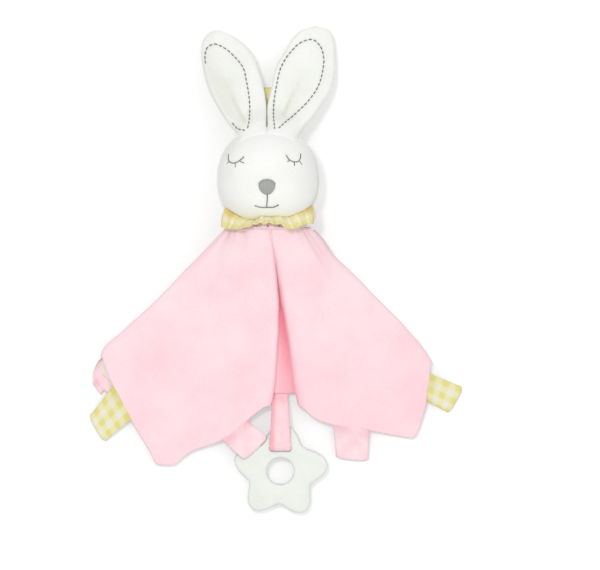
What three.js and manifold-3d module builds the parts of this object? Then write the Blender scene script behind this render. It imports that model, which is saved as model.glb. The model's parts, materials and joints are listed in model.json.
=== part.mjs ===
// Comfort blanket lovey: a plush rabbit head on a gathered square of velour, lying on its back on a table.
// Millimetres. +X is to the right as seen from above, +Y runs towards the ears, +Z rises off the table.
// The origin is on the table plane, under the blanket's rear layer.
import * as THREE from "three";
import { mergeVertices } from "three/addons/utils/BufferGeometryUtils.js";
import Module from "manifold-3d";

const wasm = await Module();
wasm.setup();

// Driving dimensions: cloth and clearances
const gap = 0.3; // between neighbouring pieces
const weldDistance = 0.001; // vertices closer than this are one
const overrun = 5; // how far a cutting solid runs past what it cuts
const blanketSide = 250; // the square that the blanket is cut to
const velourThickness = 1.4;
const backingThickness = 0.9;
const foldInnerRadius = 0.9; // inside the blanket's side folds
const pleatRollClearance = 0.6; // outer radius of a pleat edge, over the cloth's own thickness
const pleatFloorRadius = 2;
const cornerLift = 2.4; // underside of the hanging corners above the table
const sideBulge = 4; // how far the right side's edge bows out between shoulder and corner

// Driving dimensions: the head and the neck
const headWidth = 68;
const headDepth = 56;
const headCrownHeight = 34; // from the widest line up
const headChinHeight = 31; // from the widest line down
const plushThickness = 1.5;
const neckLine = 54; // the neck ball's centre, above the origin along Y
const neckInset = 2; // the ball's centre lies this far inside the chin
const neckBallRadius = 8;
const neckWaistRadius = 5;
const neckThreadRadius = 0.8;

// Driving dimensions: where the blanket leaves the neck
const shoulderWidth = 59.4;
const shoulderLine = 47; // Y of the blanket's shoulders
const shoulderAxisHeight = 17;
const shoulderFrontRise = 22;
const shoulderRearDrop = 14;
const shoulderFrontLean = 2.4;
const shoulderRearLean = 3;
const waistLine = 47.6; // Y of the hole round the neck ball's stem

// Driving dimensions: the ruffle collar
const collarWidth = 63;
const collarHoleRadius = 12;
const collarUnderside = 5.6; // below the neck ball's centre
const collarFreeEdge = 1.5; // above the neck ball's centre, in front and behind
const collarTipRise = 4.5; // how much higher the free edge stands at the sides
const collarWave = 1.3;
const collarRibbonThickness = 1.2;

// Driving dimensions: the ears
const earLength = 66; // from the fold line to the tip's height
const earCentreThickness = 7;
const earSeamGap = 0.3; // between the two panels at the edge
const earTipClearance = 0.6; // tip above the table
const earCup = 1.5; // how far the edges curl up
const stitchRadius = 0.35;

// Driving dimensions: face embroidery
const threadReliefRadius = 0.5;
const noseWidth = 11.5;
const noseHeight = 9.7;
const noseRelief = 1.1;

// Driving dimensions: hanging loop, tags, strap and teether
const ribbonThickness = 0.9;
const ribbonSlit = 0.3; // between the two layers of a folded ribbon
const loopWidth = 20;
const loopOpening = 5; // inner height of the hanging loop
const loopReach = 29; // from the head to the loop's end
const strapThickness = 1.6;
const strapRootWidth = 9.4;
const strapRootOffset = 1.8; // left of the pleat's centre
const strapBendWidth = 14.3;
const strapLength = 39.7;
const starRadius = 32.3;
const starValleyRadius = 22.8;
const starThickness = 9;
const starEdgeRadius = 2.4;
const starHoleRadius = 9.2;
const starSlotWall = 3.8; // between the slot and the round hole
const starSlotLength = 16.2;
const starSlotWidth = 4;
const starArmTurns = [8, 86, 164, 234, 301]; // degrees of the arms' middles, anticlockwise from the right

// Derived places
const clothThickness = velourThickness + gap + backingThickness;
const pleatRollRadius = clothThickness + pleatRollClearance;
const pleatWallHeight = pleatRollRadius + pleatFloorRadius;
const pleatFloorTop = 2 * clothThickness + 2 * gap;
const flapTop = pleatFloorTop + pleatWallHeight;
const foldRadius = clothThickness + foldInnerRadius;
const cornerTop = clothThickness + cornerLift;
const headHalfWidth = headWidth / 2;
const headHalfDepth = headDepth / 2;
const headAxisZ = headHalfDepth;
const headCentreY = neckLine - neckInset + headChinHeight;
const headTopY = headCentreY + headCrownHeight;
const chinFullness = 2.6; // exponent of the chin's outline, where 2 is an ellipse
const neckCentre = new THREE.Vector3(0, neckLine, headAxisZ);
const degree = Math.PI / 180;

const mix = (a, b, t) => a + (b - a) * t;
const clamp = (value, low, high) => Math.min(high, Math.max(low, value));

// Materials
const cloth = (color, roughness) => new THREE.MeshStandardMaterial({ color, roughness, metalness: 0 });
const whitePlush = cloth(0xf5f7f3, 0.95);
const pinkVelour = cloth(0xffdce2, 0.95);
const printedCotton = cloth(0xf6efdf, 0.9);
const yellowGingham = cloth(0xece08f, 0.9);
const pinkRibbon = cloth(0xfccdd4, 0.9);
const greyThread = cloth(0x8f9290, 0.7);
const fill = cloth(0xfafafa, 1);
const silicone = cloth(0xf0f3ee, 0.45);

// Signed volume of loose triangles, given as nine coordinates each.
function signedVolume(coordinates) {
  let sum = 0;
  for (let i = 0; i < coordinates.length; i += 9) {
    const [ax, ay, az, bx, by, bz, cx, cy, cz] = coordinates.slice(i, i + 9);
    sum += ax * (by * cz - bz * cy) + ay * (bz * cx - bx * cz) + az * (bx * cy - by * cx);
  }
  return sum / 6;
}

// A closed geometry as a solid for joining and cutting, with its faces turned outwards.
function solidOf(geometry) {
  const bare = geometry.index ? geometry.toNonIndexed() : geometry.clone();
  bare.deleteAttribute("normal");
  bare.deleteAttribute("uv");
  const inwards = signedVolume(bare.attributes.position.array) < 0;
  const merged = mergeVertices(bare, weldDistance);
  const corners = merged.index.array;
  const triangles = [];
  for (let i = 0; i < corners.length; i += 3) {
    const [a, b, c] = [corners[i], corners[i + 1], corners[i + 2]];
    if (a === b || b === c || c === a) continue;
    triangles.push(a, inwards ? c : b, inwards ? b : c);
  }
  const vertProperties = merged.attributes.position.array;
  const mesh = { numProp: 3, vertProperties, triVerts: new Uint32Array(triangles) };
  return new wasm.Manifold(new wasm.Mesh(mesh));
}

// A solid back as a geometry.
function geometryOf(solid) {
  const { vertProperties, triVerts, numProp, numVert } = solid.getMesh();
  const positions = new Float32Array(numVert * 3);
  for (let i = 0; i < numVert; i++) {
    positions.set(vertProperties.subarray(i * numProp, i * numProp + 3), i * 3);
  }
  const geometry = new THREE.BufferGeometry();
  geometry.setAttribute("position", new THREE.BufferAttribute(positions, 3));
  geometry.setIndex(new THREE.BufferAttribute(triVerts, 1));
  geometry.computeVertexNormals();
  return geometry;
}

function piece(name, solid, material) {
  const mesh = new THREE.Mesh(geometryOf(solid), material);
  mesh.name = name;
  return mesh;
}

// A solid skinned over closed sections with the same number of points.
// The last section joins the first when around is true; otherwise both ends are capped.
// The second half of a section runs back under the first half, so its quads are cut along the same diagonals.
function loft(sections, around = false) {
  const corners = [];
  const count = sections[0].length;
  const spans = around ? sections.length : sections.length - 1;
  for (let s = 0; s < spans; s++) {
    const here = sections[s];
    const next = sections[(s + 1) % sections.length];
    for (let p = 0; p < count; p++) {
      const q = (p + 1) % count;
      const [start, end] = p < count / 2 ? [here[p], next[q]] : [here[q], next[p]];
      corners.push(here[p], here[q], end, start, next[q], next[p]);
    }
  }
  const cap = (section, flipped) => {
    const centre = section.reduce((sum, v) => sum.add(v), new THREE.Vector3()).divideScalar(count);
    for (let p = 0; p < count; p++) {
      const [a, b] = [section[p], section[(p + 1) % count]];
      corners.push(centre, flipped ? b : a, flipped ? a : b);
    }
  };
  if (!around) {
    cap(sections[0], true);
    cap(sections[sections.length - 1], false);
  }
  return solidOf(new THREE.BufferGeometry().setFromPoints(corners));
}

// A tube of round section along points, smoothed.
function tube(points, radius, steps, sides) {
  const section = new THREE.Shape().absarc(0, 0, radius, 0, 2 * Math.PI);
  const path = new THREE.CatmullRomCurve3(points);
  const options = { steps, extrudePath: path, curveSegments: sides / 2 };
  return solidOf(new THREE.ExtrudeGeometry(section, options));
}

// A ribbon laid along pairs of outer and inner points, each pair carried to both edges of its width.
function ribbon(pairs, place, closed) {
  const section = ([outer, inner]) => [place(outer, 0), place(outer, 1), place(inner, 1), place(inner, 0)];
  return loft(pairs.map(section), closed);
}

// A point at a turn round a centre, in the plane of a ribbon's length and height.
const around = (centre, reach, turn) =>
  new THREE.Vector2(centre.x + reach * Math.cos(turn * degree), centre.y + reach * Math.sin(turn * degree));

// The head's reach at a height, as a share of its half width and half depth.
function headReachShare(y) {
  const above = y >= headCentreY;
  const power = above ? 2 : chinFullness;
  const climb = Math.min(1, Math.abs(y - headCentreY) / (above ? headCrownHeight : headChinHeight));
  return (1 - climb ** power) ** (1 / power);
}

// Height of the head's front surface above the table at a point of the face.
function faceZ(x, y) {
  const reach = headReachShare(y) ** 2 - (x / headHalfWidth) ** 2;
  return headAxisZ + headHalfDepth * Math.sqrt(Math.max(0, reach));
}

// Y of the head's outline over its crown.
const crownY = (x) => headCentreY + headCrownHeight * Math.sqrt(Math.max(0, 1 - (x / headHalfWidth) ** 2));

// The head as a turned solid, drawn in by a wall thickness.
function headSolid(drawnIn) {
  const rows = 16;
  const points = [];
  for (let i = 0; i <= rows; i++) {
    const angle = mix(-90, 90, i / rows) * degree;
    const power = angle < 0 ? 2 / chinFullness : 1;
    const height = (angle < 0 ? headChinHeight : headCrownHeight) - drawnIn;
    const climb = Math.sign(angle) * Math.abs(Math.sin(angle)) ** power * height;
    const reach = i % rows === 0 ? 0 : Math.cos(angle) ** power * (headHalfWidth - drawnIn);
    points.push(new THREE.Vector2(reach, climb));
  }
  const turned = new THREE.LatheGeometry(points, 28);
  turned.scale(1, 1, (headHalfDepth - drawnIn) / (headHalfWidth - drawnIn));
  turned.translate(0, headCentreY, headAxisZ);
  return solidOf(turned);
}

// Head: two plush panels that meet on the side seam, stuffing inside, and the hollow that takes the neck ball
function makeHead() {
  const hollowRadius = neckBallRadius + 2 * gap + 2 * neckThreadRadius;
  const hollowBall = new THREE.SphereGeometry(hollowRadius, 24, 16).translate(...neckCentre);
  const throat = new THREE.CylinderGeometry(hollowRadius, hollowRadius, overrun + neckInset, 24);
  throat.translate(0, neckLine - (overrun + neckInset) / 2, headAxisZ);
  const hollow = solidOf(hollowBall).add(solidOf(throat));
  const outside = headSolid(0).subtract(hollow);
  const shell = outside.subtract(headSolid(plushThickness));
  const half = headHalfDepth + overrun;
  const halfSpace = (direction) => {
    const box = new THREE.BoxGeometry(headWidth + overrun, 2 * headWidth + overrun, half);
    box.translate(0, headCentreY, headAxisZ + (direction * (half + gap)) / 2);
    return solidOf(box);
  };
  const stuffing = headSolid(plushThickness + gap).subtract(hollow);
  return [
    piece("head_face_panel", shell.intersect(halfSpace(1)), whitePlush),
    piece("head_back_panel", shell.intersect(halfSpace(-1)), whitePlush),
    piece("head_stuffing", stuffing, fill),
  ];
}

// Face embroidery: lines of thread and a padded nose, each just clear of the plush.
// Points are shares of the head's half width across and of its chin height up or down from the widest line.
// An eye is one closed lid line, and each lash starts on a point of that line.
const eyeShares = {
  left: {
    lid: [[-0.776, 0.48], [-0.755, 0.33], [-0.67, 0.285], [-0.57, 0.32], [-0.458, 0.42]],
    tips: [[-0.83, 0.24]],
  },
  right: {
    lid: [[0.36, 0.45], [0.43, 0.35], [0.53, 0.305], [0.64, 0.35], [0.655, 0.49]],
    tips: [[0.69, 0.26]],
  },
};
eyeShares.left.tips.push([-0.655, 0.19], [-0.5, 0.26]);
eyeShares.right.tips.unshift([0.39, 0.28], [0.535, 0.2]);
const mouthDropShares = [[0, -0.36], [0, -0.5], [0, -0.67]];
const mouthLineShares = [[-0.26, -0.61], [-0.13, -0.66], [0, -0.67], [0.12, -0.66], [0.23, -0.61]];
const noseDropShare = 0.2; // of the chin's height, below the widest line

function facePoint([across, up], lift) {
  const x = across * headHalfWidth;
  const y = headCentreY + up * headChinHeight;
  return new THREE.Vector3(x, y, faceZ(x, y) + lift);
}

function faceLine(shares) {
  const lift = gap + 1.4 * threadReliefRadius;
  const points = shares.map((share) => facePoint(share, lift));
  return tube(points, threadReliefRadius, 3 * shares.length, 6);
}

function makeNose() {
  const centreY = headCentreY - noseDropShare * headChinHeight;
  const edge = [];
  const sides = 18;
  for (let i = 0; i < sides; i++) {
    const angle = (i / sides) * 2 * Math.PI;
    const upwards = Math.sin(angle);
    const across = Math.cos(angle) * (1 + 0.18 * upwards);
    edge.push([(across * noseWidth) / 2, (upwards * noseHeight) / 2]);
  }
  const ring = (share, lift) =>
    edge.map(([x, y]) => {
      const [px, py] = [x * share, centreY + y * share];
      return new THREE.Vector3(px, py, faceZ(px, py) + lift);
    });
  const under = gap + noseRelief / 5;
  const top = under + noseRelief;
  const rings = [[0, under], [0.6, under], [1, under], [1, under + noseRelief / 2], [0.7, top], [0, top]];
  return loft(rings.map(([share, lift]) => ring(share, lift)));
}

function makeFace() {
  const eye = ({ lid, tips }) =>
    tips.reduce((sum, tip, i) => sum.add(faceLine([lid[i + 1], tip])), faceLine(lid));
  const mouth = faceLine(mouthDropShares).add(faceLine(mouthLineShares));
  return [
    piece("nose_embroidery", makeNose(), greyThread),
    piece("mouth_embroidery", mouth, greyThread),
    piece("eye_left_embroidery", eye(eyeShares.left), greyThread),
    piece("eye_right_embroidery", eye(eyeShares.right), greyThread),
  ];
}

// Neck: the thread that ties the gathered cloth, and the ruffle collar that hugs the chin
function makeNeckThread() {
  const ring = new THREE.TorusGeometry(neckBallRadius + gap + neckThreadRadius, neckThreadRadius, 6, 24);
  ring.rotateX(Math.PI / 2).translate(...neckCentre);
  return piece("neck_thread", solidOf(ring), greyThread);
}

// Collar section from the hole out along the underside to the free edge and back along the upper side:
// reach as a share from the hole to the free edge, height as a share from underside to free edge, wave share.
const collarUnderShares = [
  [0, 0, 0], [0.3, -0.01, 0.1], [0.66, 0.05, 0.4], [0.89, 0.32, 0.8], [0.98, 0.72, 1],
];
const collarEdgeShares = [[1, 1, 1]];
const collarWaves = 11;

function makeCollar() {
  const reachSpan = collarWidth / 2 - collarWave - collarHoleRadius;
  const depthShare = (headHalfDepth - gap) / (collarWidth / 2);
  const seatReach = collarHoleRadius + collarRibbonThickness;
  const chinClimb = (1 - (seatReach / headHalfWidth) ** chinFullness) ** (1 / chinFullness);
  const seatY = headCentreY - headChinHeight * chinClimb - gap - gap / 2;
  // Height of a point at a share of the way up to the free edge, and then some way above
  const level = (height, above = 0) => (freeEdge) =>
    neckLine - collarUnderside + height * (collarUnderside + freeEdge) + above;
  const section = [...collarUnderShares, ...collarEdgeShares].map(([reach, height, wave]) => ({
    reach: collarHoleRadius + reach * reachSpan,
    y: level(height),
    wave,
  }));
  const inner = [...collarUnderShares].reverse().slice(0, -1).map(([reach, height, wave]) => ({
    reach: collarHoleRadius + reach * reachSpan - collarRibbonThickness * (0.4 + 0.4 * reach),
    y: level(height, collarRibbonThickness * (1.8 - reach)),
    wave,
  }));
  inner[0].y = level(1, -collarRibbonThickness / 2);
  const seat = [
    { reach: seatReach, y: () => seatY, wave: 0 },
    { reach: collarHoleRadius, y: () => seatY - gap, wave: 0 },
  ];
  const profile = [...section, ...inner, ...seat];
  const stations = 4 * collarWaves;
  const sections = [];
  for (let i = 0; i < stations; i++) {
    const angle = (i / stations) * 2 * Math.PI;
    const ripple = Math.cos(collarWaves * angle);
    const lag = Math.sin(collarWaves * angle);
    const freeEdge = collarFreeEdge + collarTipRise * Math.cos(angle) ** 2;
    sections.push(
      profile.map(({ reach, y, wave }) => {
        const r = reach + collarWave * wave * ripple;
        const z = headAxisZ + r * depthShare * Math.sin(angle);
        return new THREE.Vector3(r * Math.cos(angle), y(freeEdge) + collarWave * wave * lag * 0.6, z);
      }),
    );
  }
  return piece("ruffle_collar", loft(sections, true), yellowGingham);
}

// Ears: outlines as shares of the ear's length, across from the head's centre line and up from the fold line
const earOutlineShares = {
  left: {
    outer: [
      [-0.311, -0.136], [-0.421, -0.003], [-0.515, 0.147], [-0.594, 0.297], [-0.642, 0.439], [-0.673, 0.582],
      [-0.685, 0.715], [-0.677, 0.811], [-0.626, 0.897], [-0.556, 0.941], [-0.492, 0.945],
    ],
    inner: [
      [-0.014, -0.058], [-0.018, 0.179], [-0.05, 0.383], [-0.097, 0.541], [-0.136, 0.661], [-0.208, 0.764],
      [-0.294, 0.841], [-0.397, 0.905], [-0.492, 0.945],
    ],
  },
  right: {
    outer: [
      [0.311, -0.164], [0.37, -0.061], [0.468, 0.061], [0.565, 0.2], [0.639, 0.323], [0.683, 0.485],
      [0.691, 0.729], [0.683, 0.842], [0.629, 0.948], [0.545, 0.98], [0.477, 0.988],
    ],
    inner: [
      [-0.003, -0.058], [-0.002, 0.17], [0.041, 0.362], [0.082, 0.567], [0.176, 0.729], [0.247, 0.85],
      [0.33, 0.932], [0.477, 0.988],
    ],
  },
};
// Stitch lines: how far up the ear, and how far across it from the outer edge
const earStitchShares = {
  left: [
    [0.07, 0.49], [0.17, 0.65], [0.3, 0.71], [0.44, 0.73], [0.6, 0.68], [0.71, 0.58], [0.765, 0.42],
    [0.765, 0.25], [0.7, 0.14], [0.58, 0.1], [0.45, 0.1], [0.28, 0.13], [0.13, 0.2], [0.07, 0.33],
  ],
  right: [
    [0.07, 0.82], [0.16, 0.87], [0.3, 0.86], [0.45, 0.86], [0.58, 0.84], [0.69, 0.77], [0.765, 0.62],
    [0.79, 0.45], [0.76, 0.31], [0.67, 0.22], [0.55, 0.19], [0.42, 0.22], [0.28, 0.32], [0.16, 0.49],
    [0.07, 0.72],
  ],
};
const earRootRadius = earCentreThickness / 2;
const earFoldY = headTopY + earRootRadius + gap;
const earEdgeHalf = plushThickness + earSeamGap / 2;
const earDrop = headAxisZ - earEdgeHalf - earTipClearance;
const earSagPower = 1.3;
const earRootShare = 0.78; // how far the root fills the round space between the fold line and the crown

class Ear {
  constructor(side) {
    const place = ([x, y]) => new THREE.Vector3(x * earLength, earFoldY + y * earLength, 0);
    const curve = (shares) => new THREE.CatmullRomCurve3(shares.map(place));
    this.side = side;
    this.outer = curve(earOutlineShares[side].outer);
    this.inner = curve(earOutlineShares[side].inner);
  }

  // Plan position, mid height and half thickness at a share up the ear and a share across it.
  at(along, across) {
    const plan = this.outer.getPointAt(along).lerp(this.inner.getPointAt(along), across);
    const room = earFoldY - crownY(plan.x) - gap;
    const y = Math.max(plan.y, earFoldY - earRootShare * room);
    const climb = y - earFoldY;
    const rise = clamp(climb / earLength, 0, 1);
    const edge = Math.abs(2 * across - 1);
    const taper = 1 - along ** 4;
    let half = earEdgeHalf + (earRootRadius - earEdgeHalf) * taper * Math.sqrt(1 - edge ** 2);
    if (climb < 0) half = Math.min(half, Math.sqrt(Math.max(0, room ** 2 - climb ** 2)));
    const cup = earCup * edge ** 2 * Math.min(1, 4 * rise) * (1 - along);
    const mid = headAxisZ - earDrop * (1 - (1 - rise) ** earSagPower) + cup;
    return { x: plan.x, y, mid, half };
  }

  // A layer between two heights, each a function of the half thickness, over part of the ear.
  layer(lowOf, highOf, alongRange = [0, 1], acrossRange = [0, 1]) {
    const [rows, columns] = [13, 6];
    const sections = [];
    for (let i = 0; i <= rows; i++) {
      const along = mix(...alongRange, 1 - (1 - i / rows) ** 1.25);
      const low = [];
      const high = [];
      for (let j = 0; j <= columns; j++) {
        const { x, y, mid, half } = this.at(along, mix(...acrossRange, j / columns));
        high.push(new THREE.Vector3(x, y, mid + highOf(half)));
        low.unshift(new THREE.Vector3(x, y, mid + lowOf(half)));
      }
      sections.push([...high, ...low]);
    }
    return loft(sections);
  }

  stitching() {
    const points = earStitchShares[this.side].map(([along, across]) => {
      const { x, y, mid, half } = this.at(along, across);
      return new THREE.Vector3(x, y, mid + half + gap + 1.8 * stitchRadius);
    });
    return tube(points, stitchRadius, 44, 5 + 1);
  }

  pieces() {
    const wall = plushThickness;
    const filling = (half) => Math.max(gap, half - wall - 1.2 * gap);
    const name = (what) => "ear_" + this.side + "_" + what;
    const wadding = this.layer((half) => -filling(half), filling, [0.16, 0.86], [0.2, 0.8]);
    return [
      piece(name("front_panel"), this.layer((half) => half - wall, (half) => half), whitePlush),
      piece(name("back_panel"), this.layer((half) => -half, (half) => wall - half), whitePlush),
      piece(name("wadding"), wadding, fill),
      piece(name("stitching"), this.stitching(), greyThread),
    ];
  }
}

// Blanket: one skirt of cloth, gathered at the neck and folded flat, with a pleat between two front flaps.
// Hem points are shares of the blanket's side from the origin, then the hem's lift as a share from
// the hanging corners' height to the flaps' full height.
const leftFoldShare = [-0.45, -0.134];
const rightFoldShare = [0.443, -0.146];
const leftFlapShares = [
  [-0.437, -0.186, 0.3], [-0.416, -0.234, 0.2], [-0.371, -0.322, 0.1], [-0.324, -0.4, 0],
  [-0.298, -0.443, 0], [-0.26, -0.445, 0], [-0.207, -0.408, 0.1], [-0.125, -0.378, 0.35],
  [-0.069, -0.335, 0.6], [-0.029, -0.302, 0.85],
];
const rightFlapShares = [
  [0.129, -0.319, 0.8], [0.175, -0.335, 0.5], [0.28, -0.352, 0.2], [0.333, -0.363, 0.05], [0.386, -0.368, 0],
  [0.402, -0.348, 0], [0.42, -0.316, 0.05], [0.43, -0.276, 0.15], [0.434, -0.216, 0.3],
];
const rearHemShares = [
  [0.415, -0.2], [0.405, -0.26], [0.375, -0.315], [0.28, -0.318], [0.17, -0.296], [0.07, -0.24], [0, -0.24],
  [-0.08, -0.285], [-0.17, -0.355], [-0.25, -0.395], [-0.31, -0.36], [-0.37, -0.27], [-0.44, -0.245],
  [-0.47, -0.205], [-0.448, -0.167],
];
const flapTurns = { left: [163, 98], right: [17, 82] }; // degrees round the shoulders, side to pleat
const rearTurns = [-24, -156];
const pleatCornerShares = { left: [0.007, -0.286], right: [0.08, -0.289] };
const pleatHemShare = -0.2496;
const pleatTopWidthShare = 0.004;
const pleatRiseShares = [0, 0.04, 0.22, 0.65, 1, 1];
const ringShares = [0, 0.13, 0.3, 0.5, 0.7, 0.87, 1];
const frontSagPower = 1.6;
const pleatHemY = pleatHemShare * blanketSide;
const pleatCentreX = ((pleatCornerShares.left[0] + pleatCornerShares.right[0]) / 2) * blanketSide;
const pleatHemWidth = (pleatCornerShares.right[0] - pleatCornerShares.left[0]) * blanketSide;

// A point on the ring where the skirt leaves the shoulders; the angle runs from the right over the front.
function shoulderPoint(angle) {
  const up = Math.sin(angle);
  const [rise, lean] = up > 0 ? [shoulderFrontRise, shoulderFrontLean] : [shoulderRearDrop, shoulderRearLean];
  const y = shoulderLine - lean * Math.abs(up);
  return new THREE.Vector3((shoulderWidth / 2) * Math.cos(angle), y, shoulderAxisHeight + rise * up);
}

// The ring in the hole round the neck ball's stem, a little inside it so that the two are one cloth.
function waistPoint(angle) {
  const reach = neckWaistRadius - velourThickness / 2;
  return new THREE.Vector3(reach * Math.cos(angle), waistLine, headAxisZ + reach * Math.sin(angle));
}

function domePoint(angle) {
  const point = waistPoint(angle).lerp(shoulderPoint(angle), 0.5);
  point.y += (Math.sin(angle) > 0 ? 0.05 : 0.3) * (waistLine - shoulderLine);
  return point;
}

// Centre and width of the pleat's opening between the flaps, a share of the way from shoulders to hem.
function pleatAt(share) {
  const centre = pleatCentreX * (1 - (1 - share) ** 2.5);
  const width = mix(pleatTopWidthShare * blanketSide, pleatHemWidth, share ** 3);
  return { centre, width };
}

// X and height of one point of a pleat wall; step 0 is on the flap, step 4 on the pleat's floor.
function pleatWall(step, side, share) {
  const { centre, width } = pleatAt(share);
  const floorRadius = Math.min(pleatFloorRadius, 0.4 * width);
  const slant = Math.SQRT1_2;
  const roll = pleatRollRadius;
  const outwards = [roll, roll * (1 - slant), 0, -floorRadius * (1 - slant), -floorRadius];
  const drops = [0, roll * (1 - slant), roll, roll + pleatFloorRadius * slant, pleatWallHeight];
  const depth = mix(0.25, 1, Math.min(1, 2 * share));
  return { x: centre + side * (width / 2 + outwards[step]), drop: drops[step] * depth };
}

const hemPoint = ([x, y], z) => new THREE.Vector3(x * blanketSide, y * blanketSide, z);

// Each station is a function from a share of the way down the skirt to a point, with its shoulder angle.
function plainStation(angle, hem, bow = () => 0) {
  const top = shoulderPoint(angle);
  const rear = Math.sin(angle) < -0.3;
  const run = (share) => {
    const fall = rear ? Math.max(0, 1 - share / 0.3) ** 2 : (1 - share) ** frontSagPower;
    const x = mix(top.x, hem.x, share) + bow(share);
    return new THREE.Vector3(x, mix(top.y, hem.y, share), mix(hem.z, top.z, fall));
  };
  return { angle, run };
}

function pleatStation(step, side) {
  const angle = 90 * degree;
  const top = shoulderPoint(angle);
  const corner = hemPoint(side < 0 ? pleatCornerShares.left : pleatCornerShares.right, flapTop);
  const hemY = mix(corner.y, pleatHemY, pleatRiseShares[step]);
  const run = (share) => {
    const crest = mix(flapTop, top.z, (1 - share) ** frontSagPower);
    const wall = pleatWall(Math.min(step, 4), side, share);
    const x = step < 5 ? wall.x : pleatAt(share).centre;
    return new THREE.Vector3(x, mix(top.y, hemY, share), crest - wall.drop);
  };
  return { angle: Math.atan2(1, (side * (5 - step) * 0.6) / 10), run };
}

function foldStations(share, middleAngle, order, bulge = 0) {
  const point = hemPoint(share, foldRadius);
  const shoulder = shoulderPoint(middleAngle);
  const along = new THREE.Vector3(point.x - shoulder.x, point.y - shoulder.y, 0).normalize();
  const side = Math.sign(point.x);
  const outwards = new THREE.Vector3(-along.y * side, along.x * side, 0);
  return [60, 20, -20, -60].map((turn) => {
    const lean = order * turn * degree;
    const hem = point.clone().addScaledVector(outwards, foldRadius * (Math.cos(lean) - 1));
    hem.z = foldRadius * (1 + Math.sin(lean));
    const angle = middleAngle + (side > 0 ? lean : -lean) / 4;
    return plainStation(angle, hem, (down) => bulge * Math.sin(Math.PI * down ** 2.5));
  });
}

function flapStations(shares, side) {
  const edge = (share) => pleatWall(0, side, share).x;
  const drift = (share) => edge(share) - mix(edge(0), edge(1), share);
  return shares.map(([x, y, lift], i) => {
    const nearness = side < 0 ? (i + 1) / (shares.length + 1) : 1 - (i + 1) / (shares.length + 1);
    const angle = mix(...flapTurns[side < 0 ? "left" : "right"], nearness) * degree;
    const hem = hemPoint([x, y], mix(cornerTop, flapTop, lift));
    return plainStation(angle, hem, (share) => nearness ** 2 * drift(share));
  });
}

function blanketStations() {
  const rear = rearHemShares.map((share, i) => {
    const angle = mix(...rearTurns, i / (rearHemShares.length - 1)) * degree;
    return plainStation(angle, hemPoint(share, 0));
  });
  const wall = (side) => [0, 1, 2, 3, 4].map((step) => pleatStation(step, side));
  return [
    ...foldStations(leftFoldShare, 180 * degree, -1),
    ...flapStations(leftFlapShares, -1),
    ...wall(-1),
    pleatStation(5, 1),
    ...wall(1).reverse(),
    ...flapStations(rightFlapShares, 1),
    ...foldStations(rightFoldShare, 0, 1, sideBulge),
    ...rear,
  ];
}

// The skirt's outer surface as rings of points, and the surface's outward direction at each.
function blanketSurface() {
  const stations = blanketStations();
  const rings = [
    stations.map(({ angle }) => waistPoint(angle)),
    stations.map(({ angle }) => domePoint(angle)),
    ...ringShares.map((share) => stations.map(({ run }) => run(share))),
  ];
  const count = stations.length;
  const outward = rings.map((ring, k) =>
    ring.map((_, j) => {
      const [above, below] = [rings[Math.max(0, k - 1)], rings[Math.min(rings.length - 1, k + 1)]];
      const down = below[j].clone().sub(above[j]);
      const across = ring[(j + 1) % count].clone().sub(ring[(j + count - 1) % count]);
      return down.cross(across).normalize();
    }),
  );
  return { rings, outward };
}

// A layer of the skirt between two depths under its outer surface, from one ring down to the hem.
function skirtLayer({ rings, outward }, near, far, firstRing) {
  const sections = rings[0].map((_, j) => {
    const sink = (depth) =>
      rings.map((ring, k) => ring[j].clone().addScaledVector(outward[k][j], -depth)).slice(firstRing);
    return [...sink(near), ...sink(far).reverse()];
  });
  return loft(sections, true);
}

function makeBlanket() {
  const surface = blanketSurface();
  const stemDepth = neckLine - waistLine + velourThickness / 2;
  const neckAngle = Math.asin(neckWaistRadius / neckBallRadius);
  const profile = [new THREE.Vector2(0, -stemDepth), new THREE.Vector2(neckWaistRadius, -stemDepth)];
  const steps = 8;
  for (let i = 0; i <= steps; i++) {
    const angle = mix(neckAngle, Math.PI, i / steps);
    const reach = i === steps ? 0 : neckBallRadius * Math.sin(angle);
    profile.push(new THREE.Vector2(reach, -neckBallRadius * Math.cos(angle)));
  }
  const ball = solidOf(new THREE.LatheGeometry(profile, 20).translate(...neckCentre));
  const velour = skirtLayer(surface, 0, velourThickness, 0).add(ball);
  const backing = skirtLayer(surface, velourThickness + gap, clothThickness, 0);
  return [
    piece("blanket_velour", velour, pinkVelour),
    piece("blanket_backing", backing, printedCotton),
  ];
}

// Tags: a ribbon folded in two, its ends at the seam. The root is rounded about the line it swings on.
// Corners run root to outer edge; heights are the ribbon's middle above the table along its length.
const tagHalf = ribbonThickness + ribbonSlit / 2;
const seamTurn = 174; // degrees round the root at which the ribbon's two ends stop, just short of each other

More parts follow.
